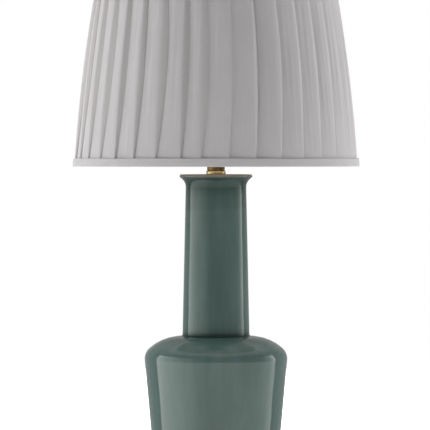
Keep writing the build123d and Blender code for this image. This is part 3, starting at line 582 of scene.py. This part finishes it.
def wire(route, side, wide, high, around=16):
    """Bar carried along a route that lies in a plane. At each of its points the section is the
    ellipse centre + wide * cos(a) * side + high * sin(a) * up, where side is the plane's normal and
    up is square to side and to the route. Both ends are closed."""
    along = np.gradient(route, axis=0)
    along = along / np.linalg.norm(along, axis=1, keepdims=True)
    up = np.cross(along, side)
    rows = np.concatenate([[0], np.arange(len(route)), [len(route) - 1]])
    open_rows = np.ones(len(rows))
    open_rows[[0, -1]] = 0
    wide = np.broadcast_to(wide, len(route))[rows] * open_rows
    high = np.broadcast_to(high, len(route))[rows] * open_rows
    angle = np.arange(around) * 2 * math.pi / around
    across = wide[:, None, None] * np.cos(angle)[None, :, None] * np.asarray(side, float)
    upright = high[:, None, None] * np.sin(angle)[None, :, None] * up[rows][:, None]
    points = route[rows][:, None] + across + upright
    return points.reshape(-1, 3), grid_faces(len(rows), around)


harp_half = [
    (0.03075, 0.4655, 0),
    (0.03075, 0.5035, 0.030),
    (0.0570, 0.5575, 0.060),
    (0.0570, 0.6195, 0.090),
    (0.0170, 0.7139, 0.009),
]
harp_corners = [(-x, z, r) for x, z, r in harp_half] + harp_half[::-1]
harp_line = spaced(rounded(harp_corners), 0.003)
harp_route = np.stack([harp_line[:, 0], 0 * harp_line[:, 0], harp_line[:, 1]], axis=1)
harp_flat = 1 - eased(harp_line[:, 1], 0.4805, 0.4860)
wire_radius = 0.0017
flat_width = 0.0023
flat_thickness = 0.00075
harp_wide = wire_radius + (flat_width - wire_radius) * harp_flat
harp_high = wire_radius + (flat_thickness - wire_radius) * harp_flat
harp_brass = bare_metal("harp_brass", (0.60, 0.45, 0.21), (0.46, 0.33, 0.15), 0.24, 0.38, 0.008)
harp = closed_up(put("harp_loop", wire(harp_route, (0, 1, 0), harp_wide, harp_high)))
harp.data.materials.append(harp_brass)
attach(harp, "base")
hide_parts("harp_wire")
dress(harp_brass, "harp_saddle", "harp_stud", "harp_sleeve_left", "harp_sleeve_right")

# ---------------------------------------------------------------- the socket and its switch
# Drawn brass shell in a spun brass cap, with a card liner, a black moulded interior, a threaded
# aluminium shell and a brass centre contact. A small screw in the cap's hub grips the pipe, two more
# take the cord's wires, and a fluted knob turns the switch.

socket_brass = bare_metal("socket_brass", (0.70, 0.54, 0.27), (0.56, 0.41, 0.19), 0.16, 0.28, 0.009)
dress(socket_brass, "socket_cap", "socket_shell", "socket_centre_contact", "switch_spindle")
dress(
    two_tone("liner_card", (0.42, 0.33, 0.22), (0.50, 0.41, 0.29), 0.9, 0.006, 0.0004, 0.0001),
    "socket_liner",
)
aluminium = bare_metal("bright_aluminium", (0.76, 0.76, 0.77), (0.62, 0.62, 0.62), 0.2, 0.34, 0.008)
dress(aluminium, "socket_screw_shell")
dress(moulding, "socket_interior", "switch_knob")


def slotted_screw(name, radius, height, shank, place, turn_over=1):
    """Slotted pan-head screw along X: a half outline of its head and shank turned round its axis,
    less a slot across the head. Its head's underside lies at the place."""
    outline = rounded(
        [
            (0, -shank, 0),
            (radius * 0.5, -shank, 0.0002),
            (radius * 0.5, 0, 0.0001),
            (radius, 0, 0.0002),
            (radius, height, height * 0.6),
            (0, height, 0),
        ]
    )
    screw = closed_up(put(name, lathe(outline, 48)))
    reach = 2 * radius
    slot = radius * 0.16
    low, high = height * 0.5, height * 1.5
    edge = ((-reach, -slot), (reach, -slot), (reach, slot), (-reach, slot))
    corners = np.array([(x, y, z) for z in (low, high) for x, y in edge])
    sides = np.array([[3, 2, 1, 0], [4, 5, 6, 7], [0, 1, 5, 4], [1, 2, 6, 5], [2, 3, 7, 6], [3, 0, 4, 7]])
    bored(screw, corners, sides)
    points = points_of(screw)
    points = points[:, [2, 0, 1]] * (turn_over, turn_over, 1) + place
    screw.data.vertices.foreach_set("co", points.ravel())
    screw.data.update()
    return screw


set_screw = slotted_screw("set_screw", 0.0026, 0.0020, 0.0028, (0.0080, 0, 0.47305))
left_terminal = slotted_screw("left_terminal_screw", 0.0027, 0.0016, 0.0030, (-0.0121, 0.0035, 0.4922), -1)
right_terminal = slotted_screw("right_terminal_screw", 0.0027, 0.0016, 0.0030, (0.0121, 0.0035, 0.4922))
for screw in (set_screw, left_terminal, right_terminal):
    screw.data.materials.append(socket_brass)
    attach(screw, "base")

# ---------------------------------------------------------------- the bulb
# Medium-base bulb with an opal globe on a white flared housing. Its aluminium cap has a rolled
# thread and ends in a black glass insulator with a soldered tip.


def threaded(low, high, core, crest, pitch, around=72):
    """Closed threaded sleeve. Its radius at height z and angle a swings between core and crest as
    the cosine of 2 pi z / pitch - a, and falls to the core at both ends."""
    height = np.arange(low, high, pitch / 10)
    height = np.append(height, high)[:, None]
    angle = np.arange(around) * 2 * math.pi / around
    swing = 0.5 + 0.5 * np.cos(2 * math.pi * height / pitch - angle)
    ends = eased(height, low, low + pitch / 2) * (1 - eased(height, high - pitch / 2, high))
    radius = core + (crest - core) * swing * ends
    radius = np.concatenate([0 * radius[:1], radius, 0 * radius[:1]])
    height = np.concatenate([height[:1], height, height[-1:]])
    points = np.stack([radius * np.sin(angle), -radius * np.cos(angle), height + 0 * radius], axis=2)
    return points.reshape(-1, 3), grid_faces(len(height), around)


bulb_thread = closed_up(put("bulb_thread", threaded(0.5116, 0.5326, 0.0122, 0.0131, 0.00363)))
bulb_thread.data.materials.append(aluminium)
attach(bulb_thread, "bulb")
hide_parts("bulb_screw_cap")

housing_line = rounded(
    [
        (0, 0.5326, 0),
        (0.0150, 0.5326, 0.0010),
        (0.0150, 0.5386, 0.0080),
        (0.0265, 0.5666, 0.0010),
        (0, 0.5666, 0),
    ]
)
housing = closed_up(put("bulb_cone", lathe(spaced(housing_line, 0.004), 96)))
housing.data.materials.append(
    two_tone("bulb_white", (0.78, 0.78, 0.76), (0.82, 0.82, 0.80), 0.38, 0.02, 0.0006, 0.00003)
)
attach(housing, "bulb")
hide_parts("bulb_housing")


def globe_line(inset):
    """Half outline of the globe from its rim to its top: an arc of 48 mm radius out to the widest
    place, and a quarter circle over it, both drawn in by the inset."""
    middle, reach, long = 0.5846, 0.0300 - inset, 0.04804 - inset
    rise = np.linspace(-math.asin(0.018 / long), 0, 7)[:-1]
    side = np.stack([reach - long + long * np.cos(rise), middle + long * np.sin(rise)], axis=1)
    swing = np.linspace(0, math.pi / 2, 18)
    dome = np.stack([reach * np.cos(swing), middle + reach * np.sin(swing)], axis=1)
    return np.concatenate([side, dome])


globe_wall = np.concatenate([globe_line(0), globe_line(0.0015)[::-1], globe_line(0)[:1]])
globe = closed_up(put("bulb_glass", lathe(globe_wall, 96)))
globe.data.materials.append(
    two_tone("bulb_opal", (0.86, 0.86, 0.83), (0.89, 0.89, 0.86), 0.22, 0.03, 0.001, 0.00001)
)
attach(globe, "bulb")
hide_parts("bulb_globe")
dress(bare_metal("solder", (0.55, 0.55, 0.56), (0.42, 0.42, 0.42), 0.3, 0.5, 0.003), "bulb_tip")
dress(
    two_tone("black_glass", (0.008, 0.008, 0.010), (0.014, 0.014, 0.016), 0.08, 0.004, 0.001, 0.00001),
    "bulb_insulator",
)
dress(
    two_tone("board_white", (0.80, 0.80, 0.78), (0.86, 0.86, 0.84), 0.5, 0.008, 0.0005, 0.00002),
    "bulb_light_board",
)

# ---------------------------------------------------------------- the shade's wire frame
# Two wire rings, eight bowed ribs welded between them, and a spider: three bent arms that run from
# the top ring down to a washer on the harp's stud. All of it is steel with an off-white coat.

rim_height = 0.4545
shade_height = 0.2915
wire_drop = 0.0063
ring_wire = 0.0015
rib_wire = 0.0011


def shade_radius(height):
    """Radius over the pleats' folds: a straight cone from rim to top, bowed out by 4.7 mm at its
    middle as 4 v (1 - v), where v is the share of the height."""
    share = (height - rim_height) / shade_height
    return 0.2010 - 0.0376 * share + 0.0047 * 4 * share * (1 - share)


def turned_to(line, direction):
    """Carries a line of (distance from the axis, height) out in one direction round Z."""
    return np.stack(
        [line[:, 0] * math.cos(direction), line[:, 0] * math.sin(direction), line[:, 1]], axis=1
    )


def frame_ring(name, height, radius=ring_wire):
    """Round wire bent to a ring, a small circle turned round Z."""
    angle = np.linspace(0, 2 * math.pi, 15)
    middle = shade_radius(height) - wire_drop
    section = np.stack([middle + radius * np.cos(angle), height + radius * np.sin(angle)], axis=1)
    return closed_up(put(name, lathe(section, 192)))


coat = two_tone("frame_steel", (0.66, 0.64, 0.59), (0.74, 0.72, 0.67), 0.42, 0.02, 0.0008, 0.00006)
low_ring_height = 0.4569
high_ring_height = 0.7436
low_ring = frame_ring("low_ring", low_ring_height)
high_ring = frame_ring("high_ring", high_ring_height)

rib_height = np.linspace(low_ring_height, high_ring_height, 49)
rib_end = np.minimum(rib_height - low_ring_height, high_ring_height - rib_height)
rib_radius = rib_wire + 0.0004 * np.exp(-((rib_end / 0.0022) ** 2))
rib_line = np.stack([shade_radius(rib_height) - wire_drop, rib_height], axis=1)
rib_turns = [math.radians(22.5 + 45 * i) for i in range(8)]
ribs = closed_up(
    put(
        "bowed_ribs",
        *[
            wire(turned_to(rib_line, a), (-math.sin(a), math.cos(a), 0), rib_radius, rib_radius, 12)
            for a in rib_turns
        ],
    )
)

arm_reach = shade_radius(high_ring_height) - wire_drop - ring_wire
arm_line = spaced(
    rounded(
        [
            (0.0080, 0.7211, 0),
            (0.0160, 0.7211, 0.008),
            (arm_reach - 0.016, high_ring_height, 0.040),
            (arm_reach + ring_wire, high_ring_height, 0),
        ]
    ),
    0.004,
)
arm_line[:, 1] -= 0.0006 * (1 - eased(arm_line[:, 0], 0.012, 0.020))
arm_turns = [math.radians(a) for a in (90, 210, 330)]
hub_line = rounded(
    [
        (0.00345, 0.7195, 0.0003),
        (0.0120, 0.7195, 0.0006),
        (0.0120, 0.7217, 0.0008),
        (0.00345, 0.7217, 0.0004),
    ],
    closed=True,
)
spider = closed_up(
    put(
        "spider_arms",
        lathe(spaced(hub_line, 0.003), 72),
        *[
            wire(turned_to(arm_line, a), (-math.sin(a), math.cos(a), 0), 0.0016, 0.0015)
            for a in arm_turns
        ],
    )
)
for piece, node in (
    (low_ring, "shade_bottom_ring"),
    (high_ring, "shade_top_ring"),
    (ribs, "shade_ribs"),
    (spider, "shade_spider"),
):
    piece.data.materials.append(coat)
    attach(piece, "shade")
    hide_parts(node)

# ---------------------------------------------------------------- the shade's lining
# One sheet of smooth warm-white cloth, cut to the shade's form and stretched inside the ribs from
# ring to ring. It is slit where the spider's three arms pass out to the top ring.


def make_weave():
    """Plain weave on a place measured in metres. In every second cell the warp's round back shows,
    the weft's in the others; slubs are long streaks of tone along both."""
    tree, given, add, give = group(
        "weave",
        [("Place", "Vector", None), ("Pitch", "Float", 0.0005), ("Slub", "Float", 0.02)],
        [("Height", "Float"), ("Tone", "Float")],
    )
    half_turn = add("Math", {"operation": "DIVIDE"}, _0=math.pi, _1=given["Pitch"])
    scaled = add("VectorMath", {"operation": "SCALE"}, _0=given["Place"], Scale=half_turn.outputs[0])
    waves = add("SeparateXYZ", _0=add("VectorMath", {"operation": "SINE"}, _0=scaled.outputs[0]).outputs[0])
    crossing = add("Math", {"operation": "MULTIPLY"}, _0=waves.outputs[0], _1=waves.outputs[1])
    warp_up = add("Math", {"operation": "GREATER_THAN"}, _0=crossing.outputs[0], _1=0.0)
    warp = add("Math", {"operation": "ABSOLUTE"}, _0=waves.outputs[0])
    weft = add("Math", {"operation": "ABSOLUTE"}, _0=waves.outputs[1])
    height = add(
        "Mix", {"data_type": "FLOAT"}, _0=warp_up.outputs[0], _2=weft.outputs[0], _3=warp.outputs[0]
    )
    give("Height", height.outputs[0])
    upright = add("Group", {"node_tree": drift}, Place=given["Place"], Size=given["Slub"], Stretch=(22, 1, 1))
    level = add("Group", {"node_tree": drift}, Place=given["Place"], Size=given["Slub"], Stretch=(1, 22, 1))
    both = add("Math", {"operation": "ADD"}, _0=upright.outputs[0], _1=level.outputs[0])
    tone = add("Math", {"operation": "MULTIPLY"}, _0=both.outputs[0], _1=0.5)
    give("Tone", tone.outputs[0])
    return tree


weave = make_weave()


def cloth(name, dark, light, pitch, depth=0.00008):
    """Woven cloth that follows the piece's own cut map. Returns the material and its colour."""
    material, shader, add = finish(name, light, 0.88)
    links = material.node_tree.links
    cut = add("UVMap", {"uv_map": "cut"}).outputs["UV"]
    threads = add("Group", {"node_tree": weave}, Place=cut, Pitch=pitch)
    place = add("TexCoord").outputs["Object"]
    cloud = add("Group", {"node_tree": drift}, Place=place, Size=0.06)
    tone = threads.outputs["Tone"]
    share = add("Mix", {"data_type": "FLOAT"}, _0=0.65, _2=cloud.outputs[0], _3=tone)
    color = add("Mix", {"data_type": "RGBA"}, _0=share.outputs[0], _6=(*dark, 1), _7=(*light, 1))
    links.new(color.outputs[2], shader.inputs["Base Color"])
    bump = add("Bump", Strength=0.5, Distance=depth, Height=threads.outputs["Height"])
    links.new(bump.outputs[0], shader.inputs["Normal"])
    return material, color.outputs[2]


def cut_map(piece, across, along):
    """Lays the cloth's cut out flat, in metres: one pair of numbers for each point of the piece."""
    corner = np.empty(len(piece.data.loops), np.int32)
    piece.data.loops.foreach_get("vertex_index", corner)
    flat = np.stack([np.ravel(across)[corner], np.ravel(along)[corner]], axis=1)
    piece.data.uv_layers.new(name="cut").data.foreach_set("uv", flat.astype(np.float32).ravel())


def round_shade(radius, height, angle):
    """Points at a radius, a height and an angle from the front, all arrays that fit each other."""
    radius, height, angle = np.broadcast_arrays(radius, height, angle)
    return np.stack([radius * np.sin(angle), -radius * np.cos(angle), height], axis=-1)


def laid(name, points):
    """Makes a sheet from a grid of points, row by row, whose last column meets its first."""
    return put(name, (points.reshape(-1, 3), grid_faces(*points.shape[:2], wrap=False)))


def angles_round(slit, count=240, radius=0.1571):
    """Angles right round, with closely placed pairs at both edges of a slit over each arm, at the
    lining's radius there. Also gives one at angles within a slit and nothing elsewhere."""
    edges = np.concatenate([np.array([-slit, slit]), np.array([-slit, slit]) * 1.03]) / radius
    turns = np.array([a + math.pi / 2 for a in arm_turns]) % (2 * math.pi)
    even = np.arange(count + 1) * 2 * math.pi / count
    angle = np.sort(np.concatenate([even, (turns[:, None] + edges).ravel()]))
    away = np.abs(angle[:, None] - turns).min(axis=1) * radius
    return angle, (away < slit * 1.01).astype(float)


cover_foot = 0.4554
cover_top = 0.7451
lining_drop = 0.00845
lining_girth_radius = 0.185
lining_angle, lining_slit = angles_round(0.0021)
lining_height = np.linspace(cover_foot, cover_top, 61)[:, None]
lining_height = np.minimum(lining_height, cover_top - 0.0040 * lining_slit)
lining_points = round_shade(shade_radius(lining_height) - lining_drop, lining_height, lining_angle)
lining = laid("lining_sheet", lining_points)
cut_map(lining, lining_angle * lining_girth_radius + 0 * lining_height, lining_height)
closed_up(lining)
lining_cloth = cloth("lining_cloth", (0.60, 0.57, 0.52), (0.68, 0.65, 0.60), 0.0004)[0]
lining.data.materials.append(lining_cloth)
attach(lining, "shade")
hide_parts("shade_lining")

# ---------------------------------------------------------------- the pleated cover
# A long strip of fine grey cloth laid in thirty-six knife pleats and pinned to both rings. Each
# panel climbs to a soft raised fold, which rolls over, drops and tucks back under itself at a crisp
# crease. The pleats stand open in the middle of the shade and are drawn flat at its rims.

pleats = 36
pleat_hand = np.random.default_rng(11)
pleat_depth = 0.0041 * pleat_hand.uniform(0.82, 1.08, pleats)
pleat_roll = 0.0108 * pleat_hand.uniform(0.80, 1.15, pleats)
pleat_softness = pleat_hand.uniform(0.45, 0.95, pleats)
pleat_crown = np.full(pleats, 0.35)
crisp_folds = slice(2, 9)
soft_folds = [35, 0, 1]
bold_folds = [2, 32]
pleat_softness[crisp_folds] = 0.08
pleat_softness[soft_folds] = 0.98
pleat_crown[crisp_folds] = 0.6
pleat_crown[soft_folds] = 0.9
pleat_depth[soft_folds] = 0.0052, 0.0050, 0.0044
pleat_depth[bold_folds] = 0.0062, 0.0050
pleat_roll[bold_folds] = 0.0085
pleat_tuck = 0.012
pleat_ply = 0.00045
rim_depth = 0.0012
rim_roll = 0.0012
ripple_height = 0.00016
strip_radius = 0.19


def fold_angle(fold):
    """Angle of a fold from the front: ten degrees apart, straying a little as hand-laid folds do.
    Those from the front round to the right are also laid up to 2.6 degrees back."""
    turn = np.radians(10 * fold - 3)
    closer = eased(np.sin(turn + 0.14), -0.06, 0.09) * (1 - eased(-np.cos(turn), -0.2, 0.9))
    stray = 0.95 * np.sin(2 * turn) - 1.2 * np.cos(np.radians(30 * (fold + 2))) - 2.6 * closer
    return turn + np.radians(stray)


def pleated(height):
    """Points of the cover, row by row. Across one pleat, x runs round the shade from its fold and y
    in from the folds. The roll falls over its width as y = drop * t^2.4 where the pleat is crisp and
    t^2 (3 - 2 t) where it is soft, the ply tucks back under it and comes forward one ply deeper, and
    the panel climbs to the next fold with the slope (1 - e^(-t / valley)) (1 - t)^crown, rippled by
    three sines of different lengths. Depth, softness and ripples swell from the rims to the middle
    as sin(pi v)^0.6 and the roll's width as sin(pi v), and the plies close up. Also gives each
    column's share of painted shade: a slightly darker, warmer tint in the rolls and tucks."""
    share = (height - cover_foot) / (cover_top - cover_foot)
    arch = np.sin(math.pi * np.clip(share, 1e-6, 1 - 1e-6))[:, None, None]
    swell = arch**0.6
    radius = shade_radius(height)[:, None, None]
    start = fold_angle(np.arange(pleats))[None, :, None]
    width = radius * (fold_angle(np.arange(1, pleats + 1))[None, :, None] - start)
    depth = rim_depth + (pleat_depth[None, :, None] - rim_depth) * swell
    roll = rim_roll + (pleat_roll[None, :, None] - rim_roll) * arch
    soft = pleat_softness[None, :, None] * swell
    ply = pleat_ply * (1 - 0.85 * soft)
    valley = 0.02 + 0.32 * soft**2
    t = np.linspace(0, 1, 9) ** 0.85
    fall = (1 - soft) * t**2.4 + soft * t**2 * (3 - 2 * t)
    roll_x, roll_y = roll * t, (depth - 2 * ply) * fall
    tuck = np.array([0.01, -0.5, -1.0, -1.01, -1.0, -0.5, 0.0])
    under = np.array([1.5, 1.0, 1.0, 0.5, 0.0, 0.0, 0.0])
    tuck_x, tuck_y = roll + pleat_tuck * tuck, depth - ply * under
    t = np.linspace(0, 1, 20) ** 1.2
    middle = (t[1:] + t[:-1]) / 2
    slope = (1 - np.exp(-middle / valley)) * (1 - middle) ** pleat_crown[None, :, None]
    climbed = np.cumsum(slope * np.diff(t), axis=2)
    climb = (1 - climbed / climbed[:, :, -1:])[:, :, :-1]
    panel_x = roll + (width - roll) * t[1:-1]
    along, sway = 2 * math.pi * (strip_radius * start + panel_x), 5 * share[:, None, None]
    ripple = np.sin(along / 0.0083 + sway) + np.sin(along / 0.0141 - sway) + np.sin(along / 0.0227)
    ripple = ripple_height * ripple * swell * np.sin(math.pi * t[1:-1]) ** 0.5
    panel_y = depth * climb + ripple
    x = np.concatenate([roll_x, tuck_x, panel_x], axis=2)
    y = np.concatenate([roll_y, tuck_y, panel_y], axis=2)
    rows = len(height)
    angle = (start + x / radius).reshape(rows, -1)
    inwards = y.reshape(rows, -1)
    angle = np.concatenate([angle, angle[:, :1] + 2 * math.pi], axis=1)
    inwards = np.concatenate([inwards, inwards[:, :1]], axis=1)
    rolled = [0.8 * np.linspace(0, 1, roll_x.shape[2]), np.ones(len(tuck)), np.zeros(len(t) - 2)]
    rolled = np.concatenate(rolled)
    rolled = np.append(np.tile(rolled, pleats), 0)
    return round_shade(radius[:, :, 0] - inwards, height[:, None], angle), rolled


cover_rows = np.linspace(0, 1, 61)
cover_rows = 0.5 * cover_rows + 0.25 * (1 - np.cos(math.pi * cover_rows))
cover_height = cover_foot + (cover_top - cover_foot) * cover_rows
cover_points, cover_fold_shade = pleated(cover_height)
cover = laid("pleated_sheet", cover_points)
middle_row = cover_points[30]
cut_width = np.append(0, np.cumsum(np.linalg.norm(np.diff(middle_row, axis=0), axis=1)))
cut_map(cover, cut_width + 0 * cover_height[:, None], cover_height[:, None] + 0 * cut_width)
corner_values(cover, "rolled", np.ravel(cover_fold_shade + 0 * cover_height[:, None]))
closed_up(cover, crease=math.radians(60))
# Painted shade: the rolls and tucks get a slightly darker, warmer tint than the panels.
fold_shade_tint = (0.49, 0.470, 0.462, 1)
cover_cloth, cover_color = cloth(
    "pleated_cloth", (0.475, 0.462, 0.470), (0.525, 0.512, 0.520), 0.00045
)
add_cover = shader_nodes(cover_cloth.node_tree)
in_fold_shade = add_cover("Attribute", {"attribute_name": "rolled"}).outputs["Fac"]
fold_shaded = add_cover("Mix", {"data_type": "RGBA"}, _0=in_fold_shade, _6=cover_color, _7=fold_shade_tint)
cover_shader = cover_cloth.node_tree.nodes["Principled BSDF"]
cover_cloth.node_tree.links.new(fold_shaded.outputs[2], cover_shader.inputs["Base Color"])
cover.data.materials.append(cover_cloth)
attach(cover, "shade")
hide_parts("shade_cover")

# ---------------------------------------------------------------- the trim bands
# A padded tape of the same cloth round each rim. It covers the pleats' ends outside, turns over the
# rim and is glued to the lining inside. A row of stitching shows as a faint line below its edge, and
# the top band's inner lap is slit for the spider's arms.

trim_cloth = cloth("trim_cloth", (0.475, 0.462, 0.470), (0.535, 0.522, 0.530), 0.00045)[0]
band_height = 0.0114
band_ply = 0.0009
stitch_height, stitch_width, stitch_depth = 0.0078, 0.00045, 0.00030


def trim_band(name, edge, inward, slit):
    """Band round a rim. Its section is given as (distance out from the folds, distance in from the
    rim's edge), follows the shade's side, is crowned by 0.3 mm outside, has a stitched groove, and
    wavers a little round the shade. Within a slit its inner lap shrinks back to the turn."""
    section = spaced(
        rounded(
            [
                (0.0018, 0.0, 0.0007),
                (0.0018, band_height, 0.0009),
                (0.0004, band_height, 0.0003),
                (0.0004, band_ply, 0.0002),
                (-0.0091, band_ply, 0.0003),
                (-0.0091, 0.0080, 0.0002),
                (-0.0098, 0.0080, 0.0002),
                (-0.0098, 0.0, 0.0005),
            ],
            closed=True,
            arc_step=math.radians(22),
        ),
        0.0011,
    )
    out, rise = section[:, :1], section[:, 1:]
    angle, within = angles_round(slit, 288)
    outside = out > 0.0015
    crown = 0.0003 * np.sin(math.pi * np.clip(rise / band_height, 0, 1))
    groove = stitch_depth * np.exp(-(((rise - stitch_height) / stitch_width) ** 2))
    out = out + np.where(outside, crown - groove, 0)
    waver = 0.00012 * np.sin(5 * angle + 1) + 0.0001 * np.sin(13 * angle) + 0.00006 * np.sin(41 * angle)
    drift_up = 0.00018 * np.sin(3 * angle + 2) + 0.0001 * np.sin(9 * angle)
    lap = (out < -0.0088) & (rise > band_ply)
    rise = np.where(lap, band_ply + (rise - band_ply) * (1 - 0.999 * within), rise)
    rise = rise + drift_up * np.clip(rise / band_height, 0, 1) * (rise > 0.0015)
    out = out + np.where(outside, waver, 0)
    height = edge + inward * rise
    band = laid(name, round_shade(shade_radius(height) + out, height, angle))
    length = np.append(0, np.cumsum(np.linalg.norm(np.diff(section, axis=0), axis=1)))
    cut_map(band, angle * shade_radius(edge) + 0 * length[:, None], length[:, None] + 0 * angle)
    closed_up(band)
    band.data.materials.append(trim_cloth)
    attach(band, "shade")
    return band


low_band = trim_band("low_band", rim_height, 1, 0.0)
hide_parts("shade_trim_bottom")
high_band = trim_band("high_band", rim_height + shade_height, -1, 0.0019)
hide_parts("shade_trim_top")

# ---------------------------------------------------------------- the finial
# Turned antique brass knob with a round base, a drawn-in waist and a ball, screwed down on the stud
# to hold the shade.

finial_base = rounded(
    [
        (0.0032, 0.7217, 0.0003),
        (0.0070, 0.7217, 0.0006),
        (0.0070, 0.7245, 0.0012),
        (0.0053, 0.7267, 0.0004),
        (0.00515, 0.7275, 0),
    ]
)
finial_base[0] = (0.0032, 0.7217)
waist_height = np.linspace(0.7275, 0.74225, 12)
waist_curve = np.polyfit([0.7267, 0.7345, 0.74225], [0.0053, 0.0044, 0.0049], 2)
waist = np.stack([np.polyval(waist_curve, waist_height), waist_height], axis=1)
ball_swing = np.linspace(-math.asin(0.00695 / 0.0085), math.pi / 2, 24)
ball = np.stack([0.0085 * np.cos(ball_swing), 0.7492 + 0.0085 * np.sin(ball_swing)], axis=1)
bore = np.array([(0, 0.7375), (0.0032, 0.7375), (0.0032, 0.7217)])
finial = closed_up(put("brass_finial", lathe(np.concatenate([finial_base, waist, ball, bore]), 96)))
# The ball is lighter round its widest part: brass rubbed bright, and a painted highlight.
corner_values(finial, "worn", 0.5 * eased(np.hypot(*points_of(finial)[:, :2].T), 0.0062, 0.0085))
finial.data.materials.append(antique_and_shadow)
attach(finial, "finial")
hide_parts("finial")
